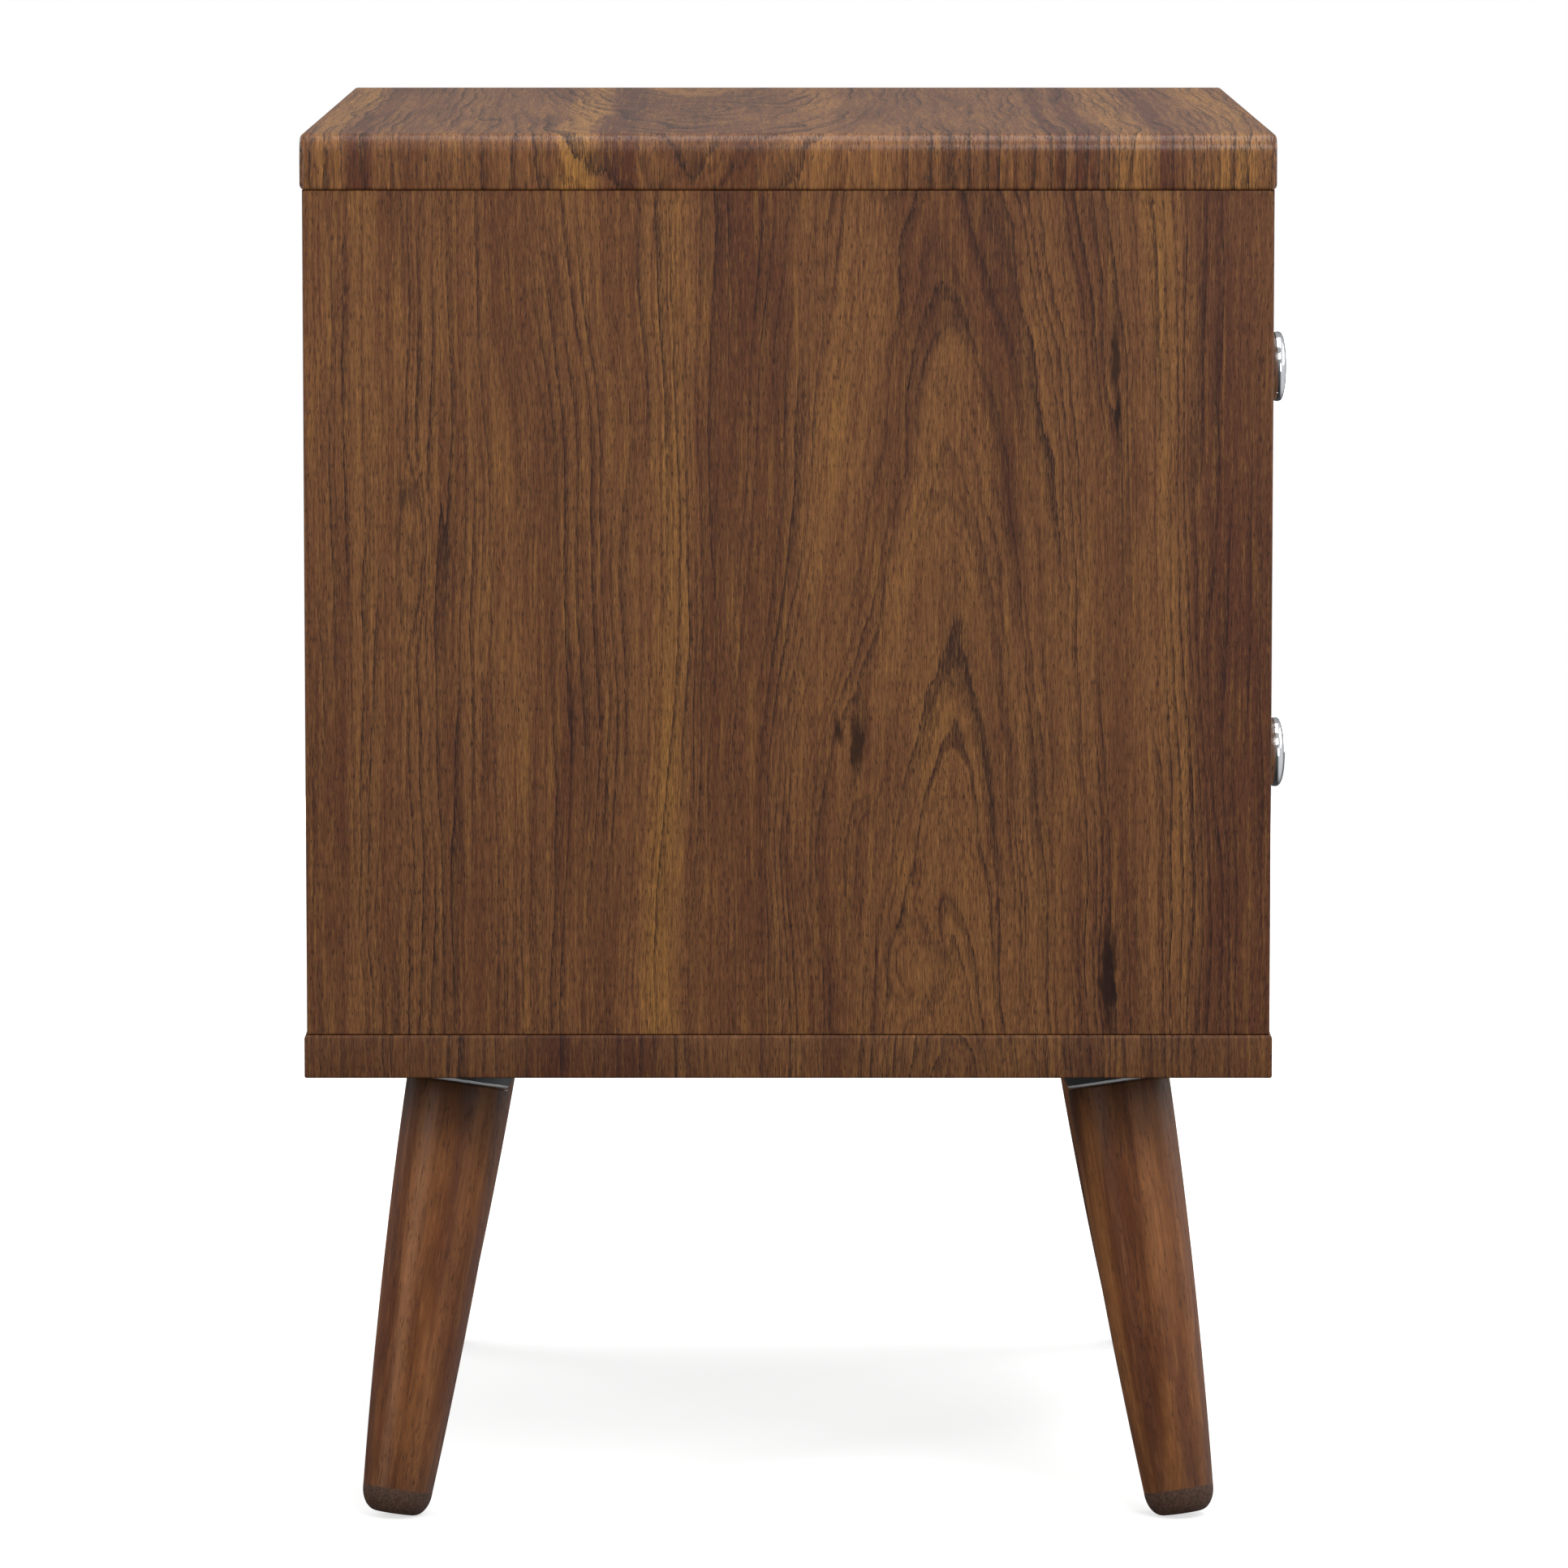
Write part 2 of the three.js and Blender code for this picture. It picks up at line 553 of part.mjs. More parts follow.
// The knob's profile starts on its foot and ends at the crown of its dome, a flattened ellipse
function knob(floor) {
  const rimHeight = KNOB_PROJECTION - KNOB_CROWN;
  const profile = [
    [0, 0], [KNOB_FOOT_RADIUS, 0], [KNOB_FOOT_RADIUS, KNOB_FOOT_THICKNESS],
    [KNOB_NECK_RADIUS, KNOB_NECK_START], [KNOB_NECK_RADIUS, KNOB_NECK_END],
    [KNOB_FLARE_RADIUS, rimHeight - 2 * KNOB_RIM], [KNOB_RADIUS, rimHeight - KNOB_RIM],
  ];
  const domeSteps = 6;
  for (let step = 0; step < domeSteps; step += 1) {
    const angle = step / domeSteps * Math.PI / 2;
    profile.push([
      KNOB_RADIUS * Math.cos(angle) ** (2 / KNOB_DOME_POWER),
      rimHeight + KNOB_CROWN * Math.sin(angle) ** (2 / KNOB_DOME_POWER),
    ]);
  }
  profile.push([0, KNOB_PROJECTION]);
  const bore = rod(KNOB_SCREW_RADIUS + FIT_GAP, [-OVERRUN, KNOB_SCREW_GRIP + OVERRUN], BORE_SIDES);
  return cut(turned(profile, KNOB_SIDES), [bore])
    .rotateX(Math.PI / 2)
    .translate(0, FRONT_FACE, floor + FRONT_HEIGHT / 2);
}

function knobScrew(floor) {
  const length = FRONT_THICKNESS + KNOB_SCREW_GRIP;
  return panHeadScrew(KNOB_SCREW_RADIUS, length, KNOB_SCREW_HEAD_RADIUS, KNOB_SCREW_HEAD_HEIGHT, BORE_SIDES)
    .rotateX(Math.PI / 2)
    .translate(0, FRONT_REAR, floor + FRONT_HEIGHT / 2);
}

// ---------------------------------------------------------------- slides

// Outlines are drawn from the side panel's inner face towards the drawer, and mirrored by `span`
function polygon(points) {
  return new THREE.Shape(points.map(([u, v]) => new THREE.Vector2(u, v)));
}

// A channel section whose web stands at `web` and whose flanges run to `tip`, each turned in by `lip`
function channel(web, tip, halfHeight, sheet, lip) {
  const direction = Math.sign(tip - web);
  const inWeb = web + direction * sheet;
  const inLip = tip - direction * sheet;
  const inFlange = halfHeight - sheet;
  const flangeEnd = lip > 0
    ? [[inLip, inFlange], [inLip, inFlange - lip], [tip, inFlange - lip]]
    : [[tip, inFlange]];
  const upper = [[inWeb, inFlange], ...flangeEnd, [tip, halfHeight], [web, halfHeight]];
  const lower = upper.map(([u, v]) => [u, -v]).reverse();
  return polygon([...upper, ...lower]);
}

function slidePlaces(side, floor) {
  return { x: side.x * SIDE_INNER, z: floor + BOX_RISE + SLIDE_RISE, inward: -side.x };
}

function cabinetMember(side, floor) {
  const { x, z, inward } = slidePlaces(side, floor);
  const tip = x + inward * CABINET_CHANNEL_DEPTH;
  const section = channel(x, tip, CABINET_CHANNEL_HEIGHT / 2, SHEET, CABINET_LIP);
  return extrudeY(section, [SLIDE_FRONT, SLIDE_FRONT + SLIDE_LENGTH]).translate(0, 0, z);
}

function drawerMember(side, floor) {
  const { x, z, inward } = slidePlaces(side, floor);
  const web = x + inward * SLIDE_SPACE;
  const section = channel(web, web - inward * DRAWER_CHANNEL_DEPTH, DRAWER_CHANNEL_HEIGHT / 2, SHEET, 0);
  const front = FRONT_REAR + DRAWER_SLIDE_SETBACK;
  return extrudeY(section, [front, front + SLIDE_LENGTH]).translate(0, 0, z);
}

function ballCage(side, floor) {
  const { x, z, inward } = slidePlaces(side, floor);
  const web = x + inward * CAGE_SETBACK;
  const section = channel(web, web + inward * CAGE_ARM_DEPTH, CAGE_HALF_HEIGHT, CAGE_SHEET, 0);
  const front = SLIDE_FRONT + CAGE_FRONT_MARGIN + DRAWER_TRAVEL / 2;
  const cage = extrudeY(section, [front, front + CAGE_LENGTH]).translate(0, 0, z);
  const ballRow = CAGE_HALF_HEIGHT - CAGE_SHEET / 2;
  const pitch = CAGE_LENGTH / BALLS_PER_ARM;
  const balls = [];
  for (const row of [ballRow, -ballRow]) {
    for (let index = 0; index < BALLS_PER_ARM; index += 1) {
      const ball = new THREE.SphereGeometry(BALL_RADIUS, 6, 4).rotateX(Math.PI / 2);
      balls.push(ball.translate(x + inward * BALL_SETBACK, front + (index + 0.5) * pitch, z + row));
    }
  }
  return join([cage, ...balls]);
}

// ---------------------------------------------------------------- drawers in their places

const DRAWERS = [
  { name: 'upper', floor: UPPER_FRONT_FLOOR },
  { name: 'lower', floor: LOWER_FRONT_FLOOR },
];

for (const { name, floor } of DRAWERS) {
  addPart(`${name}_drawer_front`, drawerFront(floor), FINISH.walnutPanel);
  addPart(`${name}_drawer_back`, drawerBack(floor), FINISH.boxBoard);
  addPart(`${name}_drawer_tray`, drawerTray(floor), FINISH.boxBoard);
  addPart(`${name}_knob`, knob(floor), FINISH.chrome);
  addPart(`${name}_knob_screw`, knobScrew(floor), FINISH.zincSteel);
  for (const side of SIDES) {
    addPart(`${name}_drawer_side_${side.name}`, drawerSide(side, floor), FINISH.boxBoard);
    addPart(`${name}_cabinet_slide_${side.name}`, cabinetMember(side, floor), FINISH.zincSteel);
    addPart(`${name}_drawer_slide_${side.name}`, drawerMember(side, floor), FINISH.zincSteel);
    addPart(`${name}_ball_cage_${side.name}`, ballCage(side, floor), FINISH.cageSteel);
  }
}

export default nightstand;
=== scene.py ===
"""Looks for the two-drawer nightstand: walnut laminate, turned legs, chrome knobs, studio light.

Metres, in the CAD frame: +Z up, the drawer fronts face -Y, and the side the camera sees faces -X.
"""

import json
import math
from dataclasses import dataclass

import bmesh
import bpy
from mathutils import Matrix, Vector

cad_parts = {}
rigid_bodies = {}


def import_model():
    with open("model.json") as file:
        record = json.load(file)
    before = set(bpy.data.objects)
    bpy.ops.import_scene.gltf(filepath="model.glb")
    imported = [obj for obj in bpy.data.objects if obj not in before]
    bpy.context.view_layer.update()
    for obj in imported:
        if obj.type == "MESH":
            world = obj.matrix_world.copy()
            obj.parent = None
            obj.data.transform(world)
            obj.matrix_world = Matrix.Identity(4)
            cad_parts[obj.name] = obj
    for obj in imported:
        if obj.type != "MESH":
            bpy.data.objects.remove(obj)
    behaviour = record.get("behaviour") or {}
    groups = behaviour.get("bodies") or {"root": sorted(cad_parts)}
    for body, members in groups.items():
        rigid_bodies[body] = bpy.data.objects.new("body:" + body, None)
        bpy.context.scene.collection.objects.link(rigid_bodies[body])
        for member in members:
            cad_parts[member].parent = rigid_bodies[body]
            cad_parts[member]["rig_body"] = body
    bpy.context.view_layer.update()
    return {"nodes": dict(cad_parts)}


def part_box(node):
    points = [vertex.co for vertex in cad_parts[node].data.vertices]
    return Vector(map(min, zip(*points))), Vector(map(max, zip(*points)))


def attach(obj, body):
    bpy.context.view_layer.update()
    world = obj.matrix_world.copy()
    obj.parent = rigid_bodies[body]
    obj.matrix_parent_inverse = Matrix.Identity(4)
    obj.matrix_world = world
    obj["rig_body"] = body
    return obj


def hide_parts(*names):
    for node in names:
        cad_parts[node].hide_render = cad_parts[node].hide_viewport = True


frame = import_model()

MM = 0.001

# ------------------------------------------------------------------ driving sizes

# Top slab: the long rounding over its ends, and the small ones round its front and back faces
TOP_END_RADIUS = 8 * MM
TOP_FACE_RADIUS = 2.5 * MM
TOP_UNDER_RADIUS = 1.5 * MM

# The small roundings on the other boards' edges
DRAWER_FRONT_EASE = 0.8 * MM
DIVIDER_EASE = 0.6 * MM
DRAWER_BOARD_EASE = 0.5 * MM
BACK_EASE = 0.3 * MM

# How near to a board's edge its grain turns over to the next face
SIDE_WRAP = 1.2 * MM
SLAB_FACE_WRAP = 1.0 * MM
BOTTOM_END_WRAP = 1.5 * MM
DRAWER_FRONT_WRAP = 0.7 * MM

# Legs, as turned: radii, and insets of the axis from the slab's edges
LEG_TOP_RADIUS = 21.5 * MM
LEG_TOP_EASE = 0.75 * MM
LEG_TAPER = 7.6 * MM
LEG_TAPER_POWER = 1.8
LEG_INSET_AT_FLOOR = 34.5 * MM
LEG_INSET_AT_PLATE = 62.75 * MM
LEG_FACE_DROP = 10.5 * MM
LEG_GAP = 0.3 * MM
LEG_SIDES = 96
FOOT_ROUND_RADIAL = 7 * MM
FOOT_ROUND_AXIAL = 10.5 * MM
FOOT_FLAT_DEPTH = 0.5 * MM

# Leg plates: a square flange with a drum pressed into it
PLATE_STEEL = 2 * MM
PLATE_SIZE = 66 * MM
PLATE_CORNER = 6 * MM
PLATE_SIDES = 64
BOSS_BASE_RADIUS = 25 * MM
BOLT_HOLE_RADIUS = 4.3 * MM
LIP_HEIGHT = 1.2 * MM

# Knobs, from the drawer outwards: base, neck, flare and dome
KNOB_RADIUS = 15.25 * MM
KNOB_CROWN = 4.25 * MM
KNOB_DOME_POWER = 2.6
KNOB_BASE_RADIUS = 8.0 * MM
KNOB_BASE_EASE = 0.4 * MM
KNOB_BASE_TOP = 1.0 * MM
KNOB_NECK_RADIUS = 6.4 * MM
KNOB_NECK_TOP = 7.5 * MM
KNOB_SIDES = 96

# The studio floor
FLOOR_RADIUS = 2.4

# ------------------------------------------------------------------ small helpers


def srgb(red, green, blue):
    """A colour given in 0 to 255 display values, as the linear RGBA that the shaders take."""
    def linear(value):
        share = value / 255
        return share / 12.92 if share <= 0.04045 else ((share + 0.055) / 1.055) ** 2.4
    return (linear(red), linear(green), linear(blue), 1.0)


def new_object(name, bm, smooth_angle=35):
    """A mesh object from bm, smooth except across edges sharper than smooth_angle degrees."""
    for face in bm.faces:
        face.smooth = True
    for edge in bm.edges:
        if len(edge.link_faces) == 2:
            edge.smooth = edge.calc_face_angle() < math.radians(smooth_angle)
    mesh = bpy.data.meshes.new(name)
    bm.to_mesh(mesh)
    bm.free()
    piece = bpy.data.objects.new(name, mesh)
    bpy.context.scene.collection.objects.link(piece)
    return piece


def stand_in(piece, node, material):
    """piece takes the CAD node's place, on the node's own body."""
    piece.data.materials.append(material)
    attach(piece, frame["nodes"][node]["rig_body"])
    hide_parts(node)


# ------------------------------------------------------------------ where the legs stand

CORNERS = {"front_left": (-1, -1), "front_right": (1, -1), "rear_left": (-1, 1), "rear_right": (1, 1)}
slab_low, slab_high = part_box("bottom_panel")
leg_height = slab_low.z
leg_slope = (LEG_INSET_AT_PLATE - LEG_INSET_AT_FLOOR) / leg_height
lean = math.atan(leg_slope * math.sqrt(2))


def inset_corner(corner, inset):
    x_side, y_side = CORNERS[corner]
    x = slab_low.x + inset if x_side < 0 else slab_high.x - inset
    y = slab_low.y + inset if y_side < 0 else slab_high.y - inset
    return x, y


def leg_frame(corner):
    """The leg's own frame: the middle of its upper face, with +Z up its axis."""
    x_side, y_side = CORNERS[corner]
    axis = Vector((-x_side * leg_slope, -y_side * leg_slope, 1)).normalized()
    turn = Vector((0, 0, 1)).rotation_difference(axis).to_matrix().to_4x4()
    height = leg_height - LEG_FACE_DROP
    x, y = inset_corner(corner, LEG_INSET_AT_FLOOR + height * leg_slope)
    return Matrix.Translation((x, y, height)) @ turn


def leg_radius(share):
    """The leg's radius at a share of the way from its upper face to its foot."""
    return LEG_TOP_RADIUS - LEG_TAPER * share ** LEG_TAPER_POWER


# The leaning foot is as long as lets the lowest point of its rounded edge just pass the floor
round_start = 1 - FOOT_ROUND_AXIAL * math.cos(lean) / (leg_height - LEG_FACE_DROP)
foot_face_radius = leg_radius(round_start) - FOOT_ROUND_RADIAL
lowest_angle = math.atan(FOOT_ROUND_RADIAL / FOOT_ROUND_AXIAL * math.tan(lean))
foot_reach = ((foot_face_radius + FOOT_ROUND_RADIAL * math.sin(lowest_angle)) * math.sin(lean)
              - FOOT_ROUND_AXIAL * (1 - math.cos(lowest_angle)) * math.cos(lean))
leg_length = (leg_height - LEG_FACE_DROP - foot_reach + FOOT_FLAT_DEPTH) / math.cos(lean)

# ------------------------------------------------------------------ material graphs


class Graph:
    """A node material, written as calls that each add one node and return its output socket."""

    def __init__(self, name):
        self.material = bpy.data.materials.new(name)
        self.material.use_nodes = True
        self.tree = self.material.node_tree
        self.tree.nodes.clear()
        self.shader = self.tree.nodes.new("ShaderNodeBsdfPrincipled")
        output = self.tree.nodes.new("ShaderNodeOutputMaterial")
        self.tree.links.new(self.shader.outputs["BSDF"], output.inputs["Surface"])

    def put(self, socket, value):
        if isinstance(value, bpy.types.NodeSocket):
            self.tree.links.new(value, socket)
        else:
            socket.default_value = value

    def set(self, **values):
        """Sets the shader's sockets: base_color=... is Base Color, and so on."""
        for name, value in values.items():
            self.put(self.shader.inputs[name.replace("_", " ").title().replace("Ior", "IOR")], value)

    def math(self, operation, *values):
        node = self.tree.nodes.new("ShaderNodeMath")
        node.operation = operation
        for socket, value in zip(node.inputs, values):
            self.put(socket, value)
        return node.outputs[0]

    def add(self, *values):
        total = values[0]
        for value in values[1:]:
            total = self.math("ADD", total, value)
        return total

    def times(self, first, second):
        return self.math("MULTIPLY", first, second)

    def squared(self, value):
        return self.times(value, value)

    def bell(self, squared_distance):
        """1 where the squared distance is 0, falling away smoothly to nothing."""
        return self.math("EXPONENT", self.times(squared_distance, -1.0))

    def vector(self, x, y, z=0.0):
        node = self.tree.nodes.new("ShaderNodeCombineXYZ")
        for socket, value in zip(node.inputs, (x, y, z)):
            self.put(socket, value)
        return node.outputs[0]

    def place(self):
        """x, y and z of the point, in the piece's own frame."""
        source = self.tree.nodes.new("ShaderNodeTexCoord")
        split = self.tree.nodes.new("ShaderNodeSeparateXYZ")
        self.tree.links.new(source.outputs["Object"], split.inputs[0])
        return split.outputs

    def scaled_place(self, *scales):
        """The point, with x, y and z each times its own scale."""
        return self.vector(*[self.times(value, scale) for value, scale in zip(self.place(), scales)])

    def along_axis(self, row):
        """The point's place along one axis of another frame, given that row of the frame's inverse."""
        x, y, z = self.place()
        return self.add(self.times(x, row[0]), self.times(y, row[1]), self.times(z, row[2]), row[3])

    def noise(self, vector, detail=2.0, roughness=0.5):
        """Noise from 0 to 1."""
        node = self.tree.nodes.new("ShaderNodeTexNoise")
        node.noise_dimensions = "3D"
        self.put(node.inputs["Vector"], vector)
        node.inputs["Scale"].default_value = 1.0
        node.inputs["Detail"].default_value = detail
        node.inputs["Roughness"].default_value = roughness
        return node.outputs[0]

    def spread_noise(self, vector, detail, roughness):
        """Noise that lies mostly between -1 and 1."""
        return self.times(self.add(self.noise(vector, detail, roughness), -0.5), 3.0)

    def between(self, value, low, high, smooth=True):
        """0 where value is at low, 1 where it is at high, and eased between."""
        node = self.tree.nodes.new("ShaderNodeMapRange")
        node.interpolation_type = "SMOOTHSTEP" if smooth else "LINEAR"
        self.put(node.inputs["Value"], value)
        self.put(node.inputs["From Min"], low)
        self.put(node.inputs["From Max"], high)
        return node.outputs[0]

    def mix(self, share, first, second):
        """The first colour where share is 0, the second where it is 1."""
        node = self.tree.nodes.new("ShaderNodeMix")
        node.data_type = "RGBA"
        self.put(node.inputs[0], share)
        self.put(node.inputs[6], first)
        self.put(node.inputs[7], second)
        return node.outputs[2]

    def blend_values(self, share, first, second):
        """The first number where share is 0, the second where it is 1."""
        node = self.tree.nodes.new("ShaderNodeMix")
        node.data_type = "FLOAT"
        self.put(node.inputs[0], share)
        self.put(node.inputs[2], first)
        self.put(node.inputs[3], second)
        return node.outputs[0]

    def scaled(self, colour, factor):
        """The colour, brighter or darker by a factor."""
        node = self.tree.nodes.new("ShaderNodeVectorMath")
        node.operation = "SCALE"
        self.put(node.inputs[0], colour)
        self.put(node.inputs["Scale"], factor)
        return node.outputs[0]

    def bump(self, height, distance, strength):
        node = self.tree.nodes.new("ShaderNodeBump")
        node.inputs["Strength"].default_value = strength
        node.inputs["Distance"].default_value = distance
        self.put(node.inputs["Height"], height)
        self.put(self.shader.inputs["Normal"], node.outputs[0])


# ------------------------------------------------------------------ walnut

GOLDEN = srgb(137, 96, 47)
TAN_BROWN = srgb(113, 75, 45)
MID_BROWN = srgb(96, 61, 38)
RED_BROWN = srgb(79, 45, 31)
OLIVE_FLECK = srgb(124, 93, 46)
PLUM_FLECK = srgb(74, 42, 37)
DARK_LINE = srgb(38, 23, 23)
PORE = srgb(29, 17, 14)

GROWTH_SPACING = 5.2        # millimetres between growth lines
EYE_RIM = 1.6               # half width of the dark rim round an eye, in millimetres
RELIEF_DEPTH = 0.1 * MM     # how deep the pores of wood and laminate are


@dataclass
class Figure:
    """Where a board's grain figure lies. All in millimetres, across the grain and along it."""

    heart: tuple            # the middle of the arched figure, and its first apex
    seed: float
    rounding: float = 12    # how blunt the arches are
    taper: float = 0.18     # how fast they spread
    reach: float = 70       # how far across they go before the grain runs straight
    arches_open: int = -1   # the way along the grain that the arches open
    painted_light_level: float = 1.0      # brightness of the whole board, as painted light and painted shade: raised on the top slab and lowered on the bottom slab for how light falls on them
    arcs: tuple = ((0, 9, 0.5), (-24, 5, 0.6), (-36, 4, 0.5))   # (ring, fade, strength) of strong arches
    bands: tuple = ()       # (across, half width, golden above 0 and dark below 0)
    drifts: tuple = ()      # (across, along, half width, half length, sideways push)
    knots: tuple = ()       # (across, along, half width, half length, push)
    eyes: tuple = ()        # (across, along, half width, half length)

    def ring_at(self, across, along):
        """The growth-line distance at one point, before the grain wanders."""
        side = across - self.heart[0]
        nearness = math.exp(-(side / self.reach) ** 2)
        down = (along - self.heart[1]) * self.arches_open * self.taper
        return math.hypot(side, self.rounding) - down * nearness - self.rounding


class Grain:
    """The grain of one board, as sockets: u runs across it and v along it, in millimetres.

    Each noise takes its lengths in millimetres and an offset of its own, so that no two are alike.
    """

    def __init__(self, graph, figure, across, along):
        self.graph = graph
        self.figure = figure
        self.u = graph.times(across, 1 / MM)
        self.v = graph.times(along, 1 / MM)
        self.v_fibre = graph.add(self.v, graph.times(self.wave(0.45, 16, 1), 5.0))
        self.hair = self.wave(0.50, 7, 11, 3.0, 0.68)
        self.streak = self.wave(1.9, 60, 10, 2.0, 0.6)
        self.bend()
        self.lay_rings()

    def wave(self, u_length, v_length, offset, detail=2.0, roughness=0.5):
        """Noise between about -1 and 1, drawn out to the given lengths across and along."""
        graph = self.graph
        place = graph.vector(graph.times(self.u, 1 / u_length), graph.times(self.v, 1 / v_length),
                             self.figure.seed + offset)
        return graph.spread_noise(place, detail, roughness)

    def along_ring(self, length, offset, detail=2.0, roughness=0.5):
        """Noise between about -1 and 1 that follows the growth lines."""
        graph = self.graph
        place = graph.vector(graph.times(self.ring, 1 / length), graph.times(self.side, 1 / 160),
                             graph.add(graph.times(self.v, 1 / 260), self.figure.seed + offset))
        return graph.spread_noise(place, detail, roughness)

    def oval(self, u, v, centre_u, centre_v, half_width, half_length):
        """The square of the distance from the centre, as a share of the oval's own size."""
        graph = self.graph
        across = graph.times(graph.add(u, -centre_u), 1 / half_width)
        along = graph.times(graph.add(v, -centre_v), 1 / half_length)
        return graph.add(graph.squared(across), graph.squared(along))

    def bend(self):
        """u_bent is u after the grain wanders, ripples, drifts aside and parts round its knots."""
        graph = self.graph
        bent = graph.add(self.u, graph.times(self.wave(70, 210, 2), 5.0),
                         graph.times(self.wave(16, 60, 3), 1.1), graph.times(self.wave(0.6, 6, 16), 0.30))
        for drift_u, drift_v, half_width, half_length, push in self.figure.drifts:
            near = self.oval(self.u, self.v, drift_u, drift_v, half_width, half_length)
            bent = graph.add(bent, graph.times(graph.bell(near), -push))
        for knot_u, knot_v, half_width, half_length, push in self.figure.knots:
            near = self.oval(self.u, self.v, knot_u, knot_v, half_width * 4, half_length * 1.4)
            away = graph.math("TANH", graph.times(graph.add(self.u, -knot_u), 1 / half_width))
            bent = graph.add(bent, graph.times(graph.times(away, graph.bell(near)), -push))
        self.u_bent = bent

    def lay_rings(self):
        """ring is the distance from the heart of a tree that tapers: its level curves are growth lines."""
        graph, figure = self.graph, self.figure
        heart_u, heart_v = figure.heart
        self.side = graph.add(self.u_bent, -heart_u)
        self.nearness = graph.bell(graph.squared(graph.times(self.side, 1 / figure.reach)))
        distance = graph.math("SQRT", graph.add(graph.squared(self.side), figure.rounding ** 2))
        down = graph.times(graph.add(self.v_fibre, -heart_v), figure.arches_open * figure.taper)
        down = graph.add(down, graph.times(self.wave(20, 42, 18), 3.4))
        ring = graph.add(distance, graph.times(graph.times(down, self.nearness), -1.0), -figure.rounding)
        rims = 0.0
        for eye_u, eye_v, half_width, half_length in figure.eyes:
            eye = self.oval(self.u_bent, self.v_fibre, eye_u, eye_v, half_width, half_length)
            fade = graph.math("EXPONENT", graph.times(graph.squared(eye), -0.5))
            outward = graph.times(graph.math("SQRT", eye), half_width)
            ring = graph.blend_values(fade, ring, graph.add(outward, figure.ring_at(eye_u, eye_v)))
            from_rim = graph.math("ABSOLUTE", graph.add(outward, -half_width))
            rim = graph.add(graph.times(from_rim, -1 / EYE_RIM), 1.0)
            patches = graph.between(self.wave(9, 22, 19 + eye_u), -0.6, 0.2)
            rims = graph.math("MAXIMUM", rims, graph.times(rim, patches))
        self.ring = ring
        self.eye_rims = rims

    def growth_lines(self):
        """Lines that darken slowly and end sharply, strong in some places and gone in others."""
        graph = self.graph
        spacing = graph.times(self.ring, 1 / GROWTH_SPACING)
        spacing = graph.add(spacing, graph.times(self.along_ring(17, 4), 1.4))
        edge = graph.math("POWER", graph.math("FRACT", spacing), 3.0)
        strength = graph.add(self.along_ring(11, 5, 1.0), graph.times(self.wave(24, 150, 6), 0.6))
        growth = graph.times(edge, graph.between(strength, -0.50, 0.40))
        return graph.times(growth, graph.between(self.hair, 0.9, -0.15))

    def arches(self):
        """The broad soft lines of the arched figure, mostly on one side of it, and the eyes' rims."""
        graph = self.graph
        arches = 0.0
        for place, fade, weight in self.figure.arcs:
            past = graph.add(self.ring, graph.times(self.along_ring(30, 14 + place), 1.5), -place)
            past = graph.times(past, 1 / fade)
            rise = graph.between(past, -0.10, 0.05)
            shape = graph.times(rise, graph.between(past, 1.0, 0.05, smooth=False))
            shape = graph.times(shape, graph.between(self.wave(26, 75, 15 + place), -0.55, 0.30))
            arches = graph.math("MAXIMUM", arches, graph.times(shape, weight))
        one_sided = graph.add(graph.times(graph.between(self.side, 9, -7), 0.70), 0.30)
        arches = graph.times(graph.times(arches, self.nearness), one_sided)
        return graph.math("MAXIMUM", arches, graph.times(self.eye_rims, 0.6))

    def fine_lines(self):
        """Thin broken lines between the growth lines."""
        graph = self.graph
        lines = graph.between(self.along_ring(1.5, 7, 3.0, 0.65), 0.0, 0.40)
        return graph.times(lines, graph.between(self.hair, 0.9, -0.3))

    def pores(self, growth, fine_lines):
        """Short dark pores, crowded where the growth lines are."""
        graph = self.graph
        crowd = graph.add(graph.times(self.wave(7, 40, 13), 0.7), graph.times(growth, 1.2),
                          graph.times(fine_lines, 0.5))
        pore = graph.add(self.wave(0.42, 3.6, 12, 1.0), graph.times(crowd, 0.22))
        return graph.between(pore, 0.30, 0.60)

    def knot_cores(self):
        """1 in the dark ragged middle of each knot."""
        graph = self.graph
        cores = 0.0
        for knot_u, knot_v, half_width, half_length, _ in self.figure.knots:
            ragged_u = graph.add(self.u, graph.times(self.wave(5, 9, 17 + knot_u), half_width * 0.9))
            core = self.oval(ragged_u, self.v_fibre, knot_u, knot_v, half_width, half_length)
            cores = graph.math("MAXIMUM", cores, graph.between(core, 1.6, 0.1))
        return cores

    def tone(self):
        """Red-brown below 0 to golden above it, by growth line, by band and inside the arches."""
        graph = self.graph
        inside = graph.times(graph.between(self.ring, 1.0, -3.0), self.nearness)
        tone = graph.add(graph.times(self.along_ring(24, 8), 0.50), graph.times(self.wave(26, 200, 9), 0.30),
                         graph.times(inside, 0.35))
        for band_u, half_width, gold in self.figure.bands:
            offset = graph.times(graph.add(self.u_bent, -band_u), 1 / half_width)
            tone = graph.add(tone, graph.times(graph.bell(graph.squared(graph.squared(offset))), gold))
        return tone

